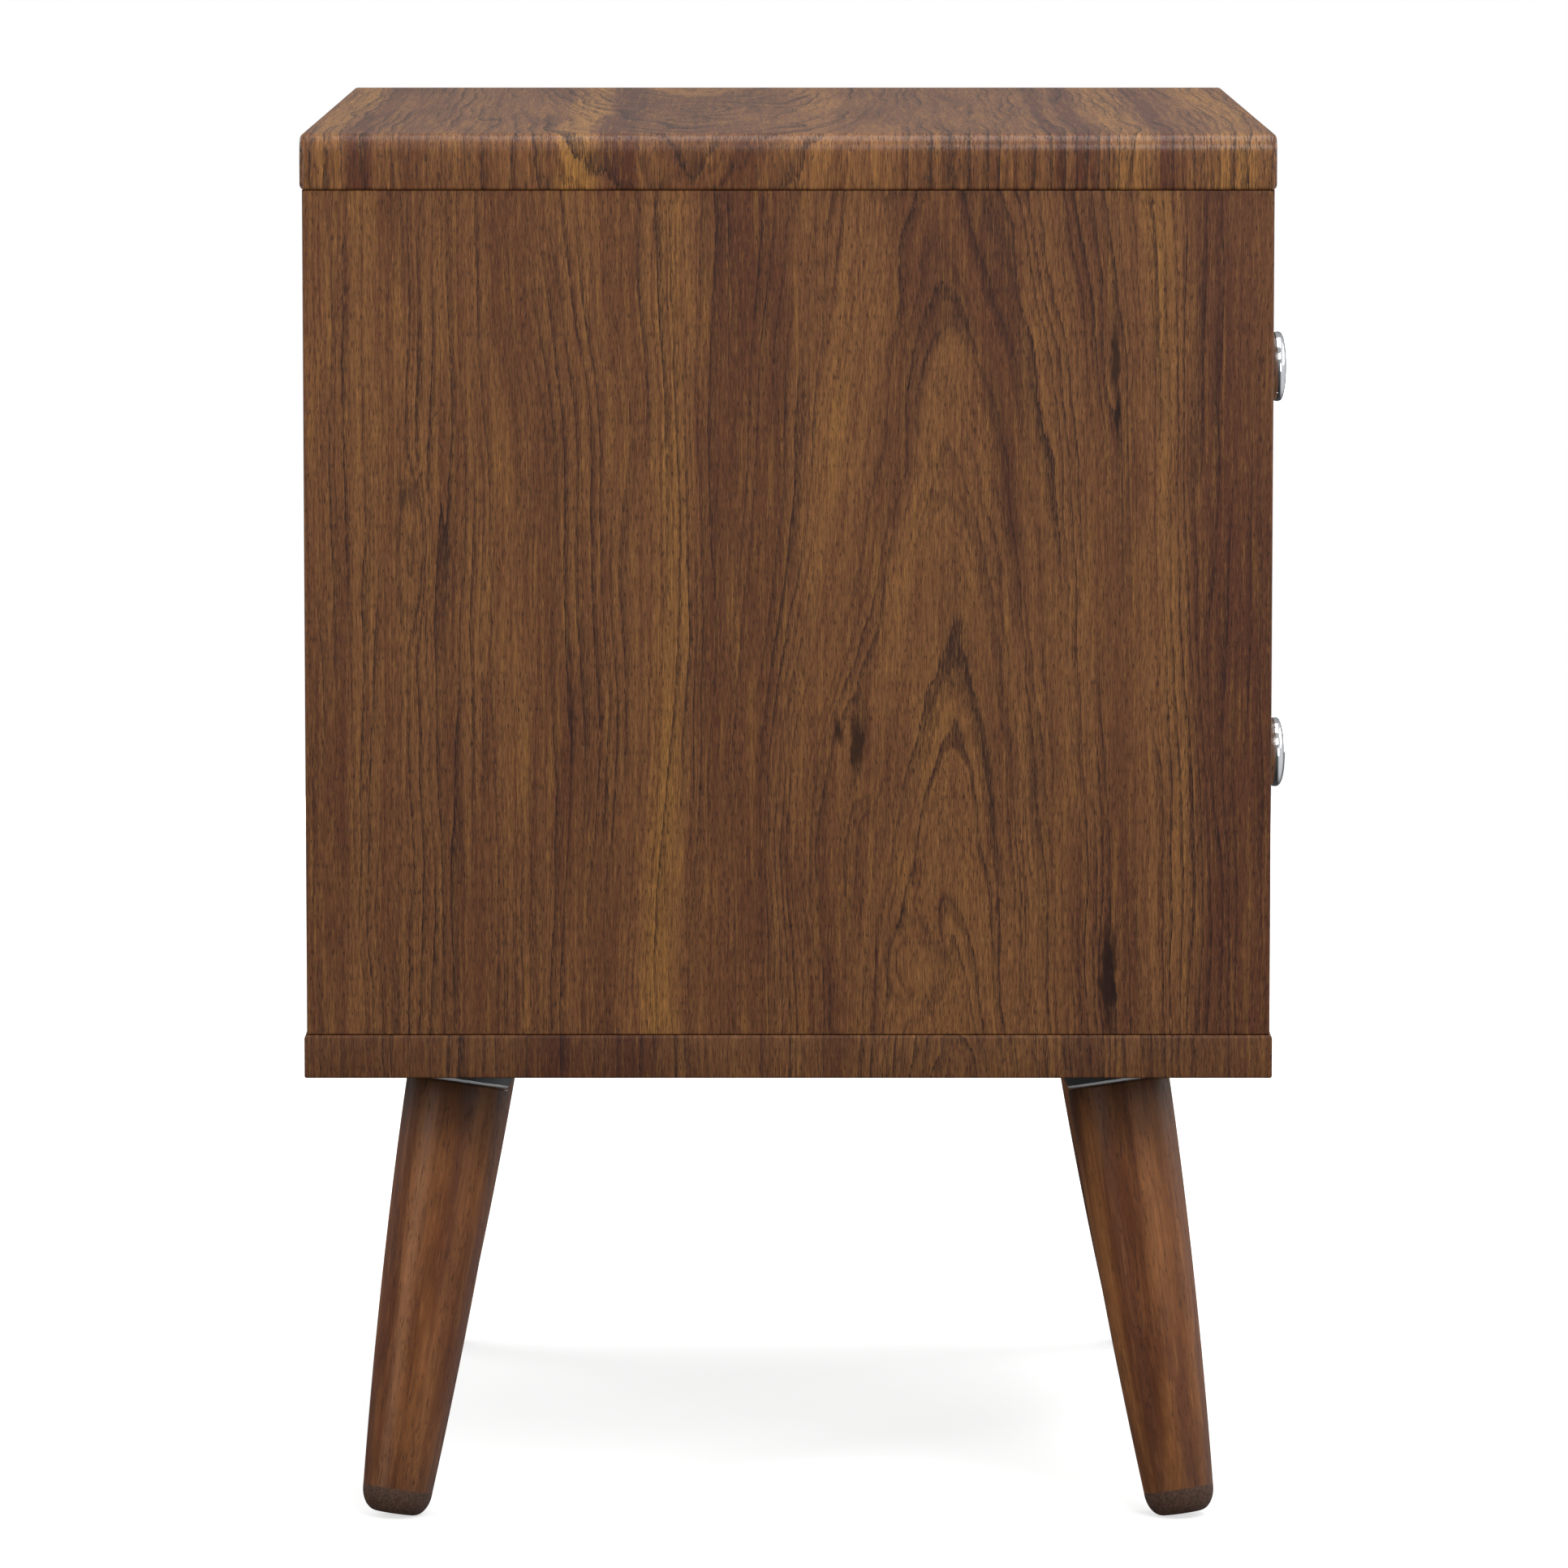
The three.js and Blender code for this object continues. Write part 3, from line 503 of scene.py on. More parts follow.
    def ground_colour(self):
        """The board's browns by tone, with streaks, flecks and the fibre's light and dark."""
        graph, painted_light_level = self.graph, self.figure.painted_light_level
        tone = self.tone()
        fleck = self.wave(0.65, 5, 20, 2.0, 0.6)
        colour = graph.mix(graph.between(tone, -0.80, 0.0), RED_BROWN, MID_BROWN)
        colour = graph.mix(graph.between(tone, -0.30, 0.45), colour, TAN_BROWN)
        colour = graph.mix(graph.times(graph.between(tone, 0.20, 1.20), 0.85), colour, GOLDEN)
        colour = graph.mix(graph.times(graph.between(self.streak, 0.0, 0.60), 0.34), colour, GOLDEN)
        colour = graph.mix(graph.times(graph.between(self.streak, 0.0, -0.60), 0.45), colour, RED_BROWN)
        colour = graph.mix(graph.times(graph.between(fleck, 0.1, 0.9), 0.45), colour, OLIVE_FLECK)
        colour = graph.mix(graph.times(graph.between(fleck, -0.1, -0.9), 0.45), colour, PLUM_FLECK)
        # The whole board is scaled brighter or darker by its figure's level: painted light and painted shade
        return graph.scaled(colour, graph.add(graph.times(self.hair, 0.72 * painted_light_level), painted_light_level))


def walnut(figure, across, along, graph, satin=0.46, shine=0.16):
    """Printed walnut: arched growth lines, colour bands, fibre streaks and fine pores."""
    grain = Grain(graph, figure, across, along)
    growth = grain.growth_lines()
    fine_lines = grain.fine_lines()
    pores = grain.pores(growth, fine_lines)
    arch_share = graph.times(grain.arches(), graph.add(graph.times(grain.hair, -0.35), 0.75))
    colour = graph.mix(graph.times(fine_lines, 0.66), grain.ground_colour(), RED_BROWN)
    colour = graph.mix(arch_share, colour, DARK_LINE)
    colour = graph.mix(graph.times(growth, 0.90), colour, DARK_LINE)
    colour = graph.mix(graph.times(pores, 0.62), colour, PORE)
    if figure.knots:
        colour = graph.mix(graph.times(grain.knot_cores(), 0.80), colour, PORE)
    rough = graph.add(satin, graph.times(pores, 0.12), graph.times(grain.streak, 0.03))
    graph.set(base_color=colour, roughness=rough, specular_ior_level=shine)
    relief = graph.add(graph.times(pores, -1.0), graph.times(grain.hair, 0.25), graph.times(growth, -0.25))
    graph.bump(relief, RELIEF_DEPTH, 0.5)
    return graph.material


def past_edges(graph, flat, edge_low, edge_high, width):
    """1 past the upper edge, -1 past the lower one and 0 on the flat between them, in a sharp step."""
    step_end = width * 0.98
    past_high = graph.between(flat, edge_high - width, edge_high - step_end)
    past_low = graph.between(flat, edge_low + width, edge_low + step_end)
    return graph.add(past_high, graph.times(past_low, -1.0))


def upright_walnut(name, node, figure):
    """Grain up the board, carried on round its front and back edges."""
    low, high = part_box(node)
    graph = Graph(name)
    x, y, z = graph.place()
    outer = low.x if low.x < 0 else -high.x
    depth = graph.add(graph.math("ABSOLUTE", x), outer)
    side = past_edges(graph, y, low.y, high.y, SIDE_WRAP)
    return walnut(figure, graph.add(y, graph.times(graph.times(side, depth), -1.0)), z, graph)


def slab_walnut(name, node, figure, end_width, **looks):
    """Grain from side to side on top, carried over the ends and down the front and back faces."""
    low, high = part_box(node)
    graph = Graph(name)
    x, y, z = graph.place()
    drop = graph.add(graph.times(z, -1.0), high.z)
    face = past_edges(graph, y, low.y, high.y, SLAB_FACE_WRAP)
    end = past_edges(graph, x, low.x, high.x, end_width)
    between_faces = graph.add(graph.times(graph.math("ABSOLUTE", face), -1.0), 1.0)
    across = graph.add(y, graph.times(face, drop))
    along = graph.add(x, graph.times(graph.times(end, between_faces), drop))
    return walnut(figure, across, along, graph, **looks)


def front_walnut(name, node, figure):
    """Grain from side to side on a drawer front, carried on over its upper and lower edges."""
    low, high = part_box(node)
    graph = Graph(name)
    x, y, z = graph.place()
    depth = graph.add(y, -low.y)
    edge = past_edges(graph, z, low.z, high.z, DRAWER_FRONT_WRAP)
    return walnut(figure, graph.add(z, graph.times(edge, depth)), x, graph)


# ------------------------------------------------------------------ other finishes

STAIN_DARK = srgb(88, 47, 23)
STAIN_LIGHT = srgb(126, 79, 42)
STAIN_PALE_STREAK = srgb(148, 98, 56)
STAIN_DEEP_STREAK = srgb(76, 42, 23)
STAIN_PORE = srgb(48, 26, 17)
STAIN_SPOT = srgb(62, 32, 20)
TIP_DARK = srgb(56, 39, 30)
TIP_LIGHT = srgb(80, 58, 46)

BOARD_GRAIN_FINE = 220.0    # noise steps per metre across a plain board's grain, and along it
BOARD_GRAIN_LONG = 9.0
METAL_CLOUD = 130.0         # noise steps per metre of the cloudiness in metal and paint
METAL_LINE_FINE = 900.0     # and of its drawing lines, across them and along them
METAL_LINE_LONG = 12.0


def leg_wood(name, leg_place, seed):
    """Stained turned wood, grain along the leg, with painted shade that darkens both ends (the slab's shadow
    painted under the top, and darker towards the foot), and with an end-grain tip.
    """
    graph = Graph(name)
    x, y, z = (graph.times(graph.along_axis(row), 1 / MM) for row in leg_place.inverted()[:3])

    def wave(across, along, offset, detail=2.0, roughness=0.5):
        """Noise between about -1 and 1, drawn out to the given lengths across and along the leg."""
        point = graph.vector(graph.times(x, 1 / across), graph.times(y, 1 / across),
                             graph.add(graph.times(z, 1 / along), seed + offset))
        return graph.spread_noise(point, detail, roughness)

    x = graph.add(x, graph.times(wave(40, 160, 1), 4.0))    # the grain bends, and all that follows with it
    band = wave(12, 170, 2)
    streak = wave(2.0, 50, 3, 2.0, 0.6)
    fibre = wave(0.55, 9, 4, 2.0, 0.6)
    mottle = wave(9, 22, 5)
    dashes = graph.add(wave(0.7, 5, 6, 1.0), graph.times(wave(8, 50, 7), 0.35))
    pores = graph.between(dashes, 0.34, 0.62)
    spot = graph.between(wave(5, 11, 8, 1.0), 0.88, 1.0)
    speckle = wave(1.1, 1.1, 9, 3.0, 0.6)

    colour = graph.mix(graph.between(band, -0.6, 0.5), STAIN_DARK, STAIN_LIGHT)
    colour = graph.mix(graph.times(graph.between(streak, 0.0, 0.7), 0.30), colour, STAIN_PALE_STREAK)
    colour = graph.mix(graph.times(graph.between(streak, 0.0, -0.7), 0.40), colour, STAIN_DEEP_STREAK)
    colour = graph.scaled(colour, graph.add(graph.times(fibre, 0.34), graph.times(mottle, 0.20), 1.0))
    colour = graph.mix(graph.times(pores, 0.50), colour, STAIN_PORE)
    colour = graph.mix(graph.times(spot, 0.60), colour, STAIN_SPOT)

    length = leg_length / MM
    # Painted shade: the leg darkens towards the foot, standing in for light that falls off low down
    painted_foot_shade = graph.between(z, -length * 1.9, -length * 0.40)
    # Painted shadow: the leg's upper end is darkened where the slab's shadow falls on it
    painted_slab_shadow = graph.between(z, 28.0, -32.0)
    colour = graph.scaled(colour, graph.math("MINIMUM", painted_foot_shade, painted_slab_shadow))
    tip_line = FOOT_ROUND_AXIAL / MM - length
    tip = graph.between(graph.add(z, graph.times(fibre, 0.35)), tip_line + 0.35, tip_line - 0.35)
    colour = graph.mix(tip, colour, graph.mix(graph.between(speckle, -0.5, 0.5), TIP_DARK, TIP_LIGHT))

    satin = graph.blend_values(tip, 0.43, 0.66)
    rough = graph.add(satin, graph.times(pores, 0.15), graph.times(streak, 0.03))
    graph.set(base_color=colour, roughness=rough, specular_ior_level=0.22)
    graph.bump(graph.add(graph.times(pores, -1.0), graph.times(fibre, 0.4)), RELIEF_DEPTH, 0.5)
    return graph.material


def board_material(name, base, light, dark, grain_axis, roughness):
    """Plain board facing: a fine, faint grain along one axis over the base colour."""
    graph = Graph(name)
    scales = [BOARD_GRAIN_FINE] * 3
    scales[grain_axis] = BOARD_GRAIN_LONG
    grain = graph.noise(graph.scaled_place(*scales), 3.0, 0.6)
    cloud = graph.noise(graph.scaled_place(14.0, 14.0, 14.0))
    colour = graph.mix(graph.between(grain, 0.45, 0.75), base, light)
    colour = graph.mix(graph.times(graph.between(grain, 0.45, 0.25), 0.8), colour, dark)
    colour = graph.mix(graph.times(graph.between(cloud, 0.40, 0.70), 0.25), colour, dark)
    rough = graph.add(roughness, graph.times(graph.add(grain, -0.5), 0.12))
    graph.set(base_color=colour, roughness=rough, specular_ior_level=0.35)
    graph.bump(grain, 0.08 * MM, 0.4)
    return graph.material


def plate_paint(name, leg_place):
    """Dark paint on pressed steel, with a painted highlight: a near-white band round the edge of the leaning
    face, where its metal rim catches the light.
    """
    graph = Graph(name)
    cloud = graph.noise(graph.scaled_place(METAL_CLOUD, METAL_CLOUD, METAL_CLOUD), 4.0, 0.6)
    height = graph.along_axis(leg_place.inverted()[2])
    edge = graph.add(height, graph.times(graph.add(cloud, -0.5), 0.8 * MM))
    # Painted highlight: the rim of the leaning face is coloured near-white to stand for the light its metal
    # edge catches
    painted_rim_highlight = graph.between(edge, LIP_HEIGHT + 0.15 * MM, LIP_HEIGHT - 0.15 * MM)
    painted = graph.mix(graph.between(cloud, 0.35, 0.65), srgb(38, 39, 41), srgb(54, 56, 58))
    colour = graph.mix(painted_rim_highlight, painted, srgb(232, 234, 236))
    rough = graph.add(graph.times(graph.add(cloud, -0.5), 0.25), graph.blend_values(painted_rim_highlight, 0.45, 0.30))
    graph.set(base_color=colour, roughness=rough, metallic=graph.times(painted_rim_highlight, 0.35))
    graph.bump(cloud, 0.04 * MM, 0.35)
    return graph.material


def metal(name, light, dark, roughness, mottle, brushed_axis=None):
    """Metal with faint cloudiness in colour and gloss, and drawing lines along one axis."""
    graph = Graph(name)
    cloud = graph.noise(graph.scaled_place(METAL_CLOUD, METAL_CLOUD, METAL_CLOUD), 4.0, 0.6)
    scales = [METAL_LINE_FINE] * 3
    if brushed_axis is not None:
        scales[brushed_axis] = METAL_LINE_LONG
    lines = graph.noise(graph.scaled_place(*scales))
    colour = graph.mix(graph.between(cloud, 0.35, 0.65), dark, light)
    rough = graph.add(roughness, graph.times(graph.add(cloud, -0.5), mottle),
                      graph.times(graph.add(lines, -0.5), mottle))
    graph.set(base_color=colour, roughness=rough, metallic=1.0)
    graph.bump(lines, 0.03 * MM, 0.35)
    return graph.material


# ------------------------------------------------------------------ boards


def rounded_slab(name, node):
    """The top: its ends roll over with a large radius, its other edges with small ones."""
    low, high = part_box(node)
    size = high - low
    centre = (low + high) / 2
    bm = bmesh.new()
    bmesh.ops.create_cube(bm, size=1.0)
    for vertex in bm.verts:
        vertex.co = Vector(a * b for a, b in zip(vertex.co, size)) + centre

    def bevel(test, radius, segments):
        edges = [edge for edge in bm.edges if test(edge)]
        bmesh.ops.bevel(bm, geom=edges, offset=radius, offset_type="OFFSET", segments=segments,
                        profile=0.5, affect="EDGES", clamp_overlap=True)

    def runs_from_front_to_back(edge):
        direction = (edge.verts[0].co - edge.verts[1].co).normalized()
        return abs(direction.y) > 0.999

    def is_upper(edge):
        return (edge.verts[0].co.z + edge.verts[1].co.z) / 2 > centre.z

    def bounds_front_or_back(edge):
        return any(abs(face.normal.y) > 0.99 for face in edge.link_faces)

    def is_sharp(edge):
        return edge.calc_face_angle() > math.radians(60)

    bevel(lambda edge: runs_from_front_to_back(edge) and is_upper(edge), TOP_END_RADIUS, 12)
    bevel(bounds_front_or_back, TOP_FACE_RADIUS, 5)
    bevel(lambda edge: runs_from_front_to_back(edge) and is_sharp(edge), TOP_UNDER_RADIUS, 4)
    return new_object(name, bm, 40)


def eased_copy(name, node, radius=0):
    """The CAD node's own shape, with its sharp edges eased by a small radius if one is given."""
    bm = bmesh.new()
    bm.from_mesh(frame["nodes"][node].data)
    bmesh.ops.remove_doubles(bm, verts=bm.verts, dist=1e-6)
    bmesh.ops.dissolve_limit(bm, angle_limit=math.radians(1), verts=bm.verts, edges=bm.edges)
    if radius:
        edges = [edge for edge in bm.edges
                 if len(edge.link_faces) == 2 and edge.calc_face_angle() > math.radians(60)]
        bmesh.ops.bevel(bm, geom=edges, offset=radius, offset_type="OFFSET", segments=3,
                        profile=0.5, affect="EDGES", clamp_overlap=True)
    return new_object(name, bm, 40)


side_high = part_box("side_panel_left")[1]
fronts_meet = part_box("upper_drawer_front")[0].z / MM


def on_side(from_back, from_top):
    """Across and along on a side panel, in millimetres in from its back edge and down from its top."""
    return side_high.y / MM - from_back, side_high.z / MM - from_top


def bands_on_side(*bands):
    """Colour bands of a side panel, each given as (from back edge, half width, gold)."""
    return [(on_side(from_back, 0)[0], half_width, gold) for from_back, half_width, gold in bands]


def marks_on_side(*marks):
    """Drifts, knots or eyes of a side panel, each given as (from back edge, from top, sizes...)."""
    return [on_side(from_back, from_top) + tuple(sizes) for from_back, from_top, *sizes in marks]


SIDE_LEFT = Figure(
    on_side(264, 55), seed=3.1, rounding=8, taper=0.19, reach=62,
    arcs=((0, 9, 0.75), (-13, 6, 0.55), (-25.5, 5, 0.90), (-33, 3.5, 0.85), (-46, 4, 0.5), (13, 7, 0.50)),
    bands=bands_on_side((24, 7, 0.5), (151, 8, 0.60), (186, 18, -0.35), (284, 8, -0.2), (354, 9, 0.55),
                        (383, 17, -0.6)),
    drifts=marks_on_side((98, 0, 32, 78, 16), (206, 255, 30, 85, 17), (305, 90, 30, 90, -6),
                         (120, 330, 40, 60, 7)),
    knots=marks_on_side((227, 229, 2.6, 13, 5), (220, 222, 1.8, 6, 1), (333, 70, 1.8, 15, 4),
                        (334, 92, 1.0, 12, 1), (331, 325, 3.0, 24, 2)),
    eyes=marks_on_side((251, 319, 9, 17), (44, 150, 6, 27)))
SIDE_RIGHT = Figure(on_side(150, 90), seed=21.7, rounding=14, taper=0.16, reach=70,
                    bands=bands_on_side((60, 9, 0.8), (300, 16, -0.6)))
# The top slab's walnut is painted brighter: painted light for the light its rounded ends catch
TOP = Figure((48, 120), seed=40.3, rounding=16, taper=0.14, reach=60, arches_open=1, painted_light_level=1.15,
             bands=[(198, 8, 0.7), (184, 5, -0.5), (95, 9, 1.0), (79, 8, -0.6), (0, 10, 0.4), (-101, 3, -1.2),
                    (-113, 4, -1.2), (-130, 9, 0.7), (-145, 3, -1.2), (-174, 12, 0.7)],
             eyes=[(48, 0, 26, 75)])
# The bottom slab's walnut is painted darker: painted shade, as less light reaches it low down
BOTTOM = Figure((-60, 200), seed=55.9, rounding=14, taper=0.12, reach=60, painted_light_level=0.80, bands=[(90, 30, -0.5)])
UPPER_FRONT = Figure((fronts_meet + 100, 60), seed=71.2, rounding=12, taper=0.13, reach=50, arches_open=1)
LOWER_FRONT = Figure((fronts_meet - 105, -40), seed=84.6, rounding=12, taper=0.14, reach=50)

top_walnut = slab_walnut("walnut_top", "top_panel", TOP, TOP_END_RADIUS, satin=0.34, shine=0.27)
bottom_walnut = slab_walnut("walnut_bottom", "bottom_panel", BOTTOM, BOTTOM_END_WRAP)
stand_in(rounded_slab("top_slab", "top_panel"), "top_panel", top_walnut)
stand_in(eased_copy("bottom_slab", "bottom_panel"), "bottom_panel", bottom_walnut)
for side, figure in (("left", SIDE_LEFT), ("right", SIDE_RIGHT)):
    node = f"side_panel_{side}"
    stand_in(eased_copy(f"{side}_side", node), node, upright_walnut(f"walnut_{side}", node, figure))
for level, figure in (("upper", UPPER_FRONT), ("lower", LOWER_FRONT)):
    node = f"{level}_drawer_front"
    stand_in(eased_copy(f"{level}_front", node, DRAWER_FRONT_EASE), node,
             front_walnut(f"walnut_{level}_front", node, figure))

BOX_COLOURS = srgb(196, 172, 136), srgb(210, 188, 154), srgb(176, 148, 112)
BACK_COLOURS = srgb(84, 60, 45), srgb(98, 72, 54), srgb(66, 45, 34)
X_AXIS, Y_AXIS, Z_AXIS = range(3)

back_board = board_material("back_board", *BACK_COLOURS, Z_AXIS, 0.62)
box_board = board_material("box_board", *BOX_COLOURS, Y_AXIS, 0.48)
box_board_cross = board_material("box_board_cross", *BOX_COLOURS, X_AXIS, 0.48)
stand_in(eased_copy("back_board_panel", "back_panel", BACK_EASE), "back_panel", back_board)
stand_in(eased_copy("divider", "divider_rail", DIVIDER_EASE), "divider_rail", back_board)
for level in ("upper", "lower"):
    for part, material in (("drawer_side_left", box_board), ("drawer_side_right", box_board),
                           ("drawer_back", box_board_cross), ("drawer_tray", box_board_cross)):
        node = f"{level}_{part}"
        stand_in(eased_copy(f"{node}_board", node, DRAWER_BOARD_EASE), node, material)

# ------------------------------------------------------------------ turned legs


def round_the_circle(sides):
    """The x and y of each of the points evenly round a circle of radius 1."""
    angles = [2 * math.pi * step / sides for step in range(sides)]
    return [(math.cos(angle), math.sin(angle)) for angle in angles]


def turned(name, profile, sides, place, floor_cut=False):
    """A profile of (radius, height) points from axis to axis, turned about Z and put in its place."""
    bm = bmesh.new()
    rings = []
    for radius, height in profile:
        if radius == 0:
            rings.append([bm.verts.new((0, 0, height))])
        else:
            rings.append([bm.verts.new((radius * x, radius * y, height)) for x, y in round_the_circle(sides)])
    for lower, upper in zip(rings, rings[1:]):
        for step in range(sides):
            following = (step + 1) % sides
            if len(lower) == 1:
                bm.faces.new((lower[0], upper[following], upper[step]))
            elif len(upper) == 1:
                bm.faces.new((lower[step], lower[following], upper[0]))
            else:
                bm.faces.new((lower[step], lower[following], upper[following], upper[step]))
    bmesh.ops.transform(bm, matrix=place, verts=bm.verts)
    if floor_cut:
        cut = bmesh.ops.bisect_plane(bm, geom=bm.verts[:] + bm.edges[:] + bm.faces[:],
                                     plane_co=(0, 0, 0), plane_no=(0, 0, -1), clear_outer=True)
        rim = [item for item in cut["geom_cut"] if isinstance(item, bmesh.types.BMEdge)]
        bmesh.ops.contextual_create(bm, geom=rim)
    bmesh.ops.recalc_face_normals(bm, faces=bm.faces)
    return new_object(name, bm)


def quarter_turn(steps, first=0):
    """A right angle in even steps, from step number first up to the one before the last."""
    return [step / steps * math.pi / 2 for step in range(first, steps)]


def leg_profile():
    """From the middle of the foot, round its edge, up the taper and over the eased upper rim."""
    profile = [(0, -leg_length)]
    for angle in quarter_turn(14):
        profile.append((foot_face_radius + FOOT_ROUND_RADIAL * math.sin(angle),
                        -leg_length + FOOT_ROUND_AXIAL * (1 - math.cos(angle))))
    taper_end = (leg_length - FOOT_ROUND_AXIAL) / leg_length
    taper_steps = 28
    for step in range(taper_steps, 0, -1):
        share = taper_end * step / taper_steps
        profile.append((leg_radius(share), -leg_length * share))
    for angle in quarter_turn(4) + [math.pi / 2]:
        profile.append((LEG_TOP_RADIUS - LEG_TOP_EASE * (1 - math.cos(angle)),
                        -LEG_GAP - LEG_TOP_EASE * (1 - math.sin(angle))))
    profile.append((0, -LEG_GAP))
    return profile


# ------------------------------------------------------------------ leg plates


def on_plate_outline(x, y):
    """The point of the flange's rounded square that lies in the direction (x, y) from its middle."""
    half = PLATE_SIZE / 2 - PLATE_CORNER
    stretch = PLATE_SIZE / 2 / max(abs(x), abs(y))
    x, y = x * stretch, y * stretch
    over_x, over_y = abs(x) - half, abs(y) - half
    if over_x > 0 and over_y > 0:
        length = math.hypot(over_x, over_y)
        x = math.copysign(half + over_x / length * PLATE_CORNER, x)
        y = math.copysign(half + over_y / length * PLATE_CORNER, y)
    return x, y


def pressed_plate(corner):
    """The pressed boss and its flange: a square plate drawn down into a drum with a leaning face."""
    leg_place = leg_frame(corner)
    low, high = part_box(f"leg_plate_{corner}")
    middle = (low + high) / 2
    bm = bmesh.new()

    def leaning_ring(radius, height):
        return [bm.verts.new(leg_place @ Vector((x * radius, y * radius, height)))
                for x, y in round_the_circle(PLATE_SIDES)]

    def level_ring(radius, height):
        return [bm.verts.new((middle.x + x * radius, middle.y + y * radius, height))
                for x, y in round_the_circle(PLATE_SIDES)]

    def flange_ring(height):
        outline = [on_plate_outline(x, y) for x, y in round_the_circle(PLATE_SIDES)]
        return [bm.verts.new((middle.x + x, middle.y + y, height)) for x, y in outline]

    flange_top = leg_height
    flange_under = flange_top - PLATE_STEEL
    rings = [
        leaning_ring(BOLT_HOLE_RADIUS, 0.0),
        leaning_ring(LEG_TOP_RADIUS - 1.6 * MM, 0.0),
        leaning_ring(LEG_TOP_RADIUS - 0.5 * MM, 0.4 * MM),
        leaning_ring(LEG_TOP_RADIUS, 1.4 * MM),
        level_ring(BOSS_BASE_RADIUS - 0.2 * MM, flange_under - 0.8 * MM),
        level_ring(BOSS_BASE_RADIUS + 0.8 * MM, flange_under),
        flange_ring(flange_under),
        flange_ring(flange_top),
        level_ring(BOSS_BASE_RADIUS - 1.2 * MM, flange_top),
        level_ring(BOSS_BASE_RADIUS - 2.2 * MM, flange_top - 1.0 * MM),
        leaning_ring(LEG_TOP_RADIUS - 2 * MM, 3.0 * MM),
        leaning_ring(LEG_TOP_RADIUS - 3 * MM, PLATE_STEEL),
        leaning_ring(BOLT_HOLE_RADIUS, PLATE_STEEL),
    ]
    for ring, following in zip(rings, rings[1:] + rings[:1]):
        for step in range(PLATE_SIDES):
            ahead = (step + 1) % PLATE_SIDES
            bm.faces.new((ring[step], ring[ahead], following[ahead], following[step]))
    bmesh.ops.recalc_face_normals(bm, faces=bm.faces)
    return new_object(f"plate_{corner}", bm, 50)


for number, corner in enumerate(CORNERS, start=1):
    leg = turned(f"turned_leg_{corner}", leg_profile(), LEG_SIDES, leg_frame(corner), floor_cut=True)
    finish = leg_wood(f"leg_wood_{number}", leg_frame(corner), 3.7 * number)
    stand_in(leg, f"leg_{corner}", finish)
    stand_in(pressed_plate(corner), f"leg_plate_{corner}",
             plate_paint(f"plate_black_{number}", leg_frame(corner)))

# ------------------------------------------------------------------ knobs


def knob_profile(projection):
    """From the middle of the base, up the neck, out along the flare and over the dome."""
    rim = projection - KNOB_CROWN
    profile = [(0, 0), (KNOB_BASE_RADIUS - KNOB_BASE_EASE, 0), (KNOB_BASE_RADIUS, KNOB_BASE_EASE),
               (KNOB_BASE_RADIUS, KNOB_BASE_TOP)]
    neck_steps = 10
    for step in range(1, neck_steps + 1):
        share = step / neck_steps
        profile.append((KNOB_NECK_RADIUS + (KNOB_BASE_RADIUS - KNOB_NECK_RADIUS) * (1 - share) ** 2,
                        KNOB_BASE_TOP + share * (KNOB_NECK_TOP - KNOB_BASE_TOP)))
    for angle in quarter_turn(14, first=1) + [math.pi / 2]:
        profile.append((KNOB_NECK_RADIUS + (KNOB_RADIUS - KNOB_NECK_RADIUS) * math.sin(angle) ** 1.1,
                        KNOB_NECK_TOP + (rim - KNOB_NECK_TOP) * (1 - math.cos(angle)) ** 0.75))
    for angle in quarter_turn(24, first=1):
        profile.append((KNOB_RADIUS * math.cos(angle) ** (2 / KNOB_DOME_POWER),
                        rim + KNOB_CROWN * math.sin(angle) ** (2 / KNOB_DOME_POWER)))
    profile.append((0, projection))
    return profile


chrome = metal("knob_chrome", srgb(236, 237, 239), srgb(224, 226, 229), 0.045, 0.03)
for level in ("upper", "lower"):
    low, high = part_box(f"{level}_knob")
    place = Matrix.Translation((0, high.y, (low.z + high.z) / 2)) @ Matrix.Rotation(math.pi / 2, 4, "X")
    knob = turned(f"{level}_round_knob", knob_profile(high.y - low.y), KNOB_SIDES, place)
    stand_in(knob, f"{level}_knob", chrome)

# ------------------------------------------------------------------ slides and fasteners

zinc = metal("zinc", srgb(198, 201, 204), srgb(186, 189, 193), 0.32, 0.14, brushed_axis=Y_AXIS)
cage_steel = metal("cage_steel", srgb(132, 134, 138), srgb(114, 116, 120), 0.38, 0.14, brushed_axis=Y_AXIS)
for name, node in frame["nodes"].items():
    if node.hide_render:
        continue
    node.data.materials.clear()
    node.data.materials.append(cage_steel if "ball_cage" in name else zinc)

# ------------------------------------------------------------------ floor, light and camera


def floor_material():
    graph = Graph("floor")
    cloud = graph.noise(graph.scaled_place(2.0, 2.0, 0.0))
    graph.set(base_color=graph.mix(cloud, (0.50, 0.50, 0.50, 1), (0.52, 0.52, 0.52, 1)),
              roughness=0.9, specular_ior_level=0.0, emission_color=(1, 1, 1, 1), emission_strength=0.64)
    return graph.material


def lay_floor():
    """A pale disc under the object, which shows in no reflection and throws no light back."""
    bm = bmesh.new()
    bmesh.ops.create_circle(bm, cap_ends=True, radius=FLOOR_RADIUS, segments=96)
    floor = new_object("floor", bm)
    floor.data.materials.append(floor_material())
    floor.visible_glossy = False
    floor.visible_diffuse = False


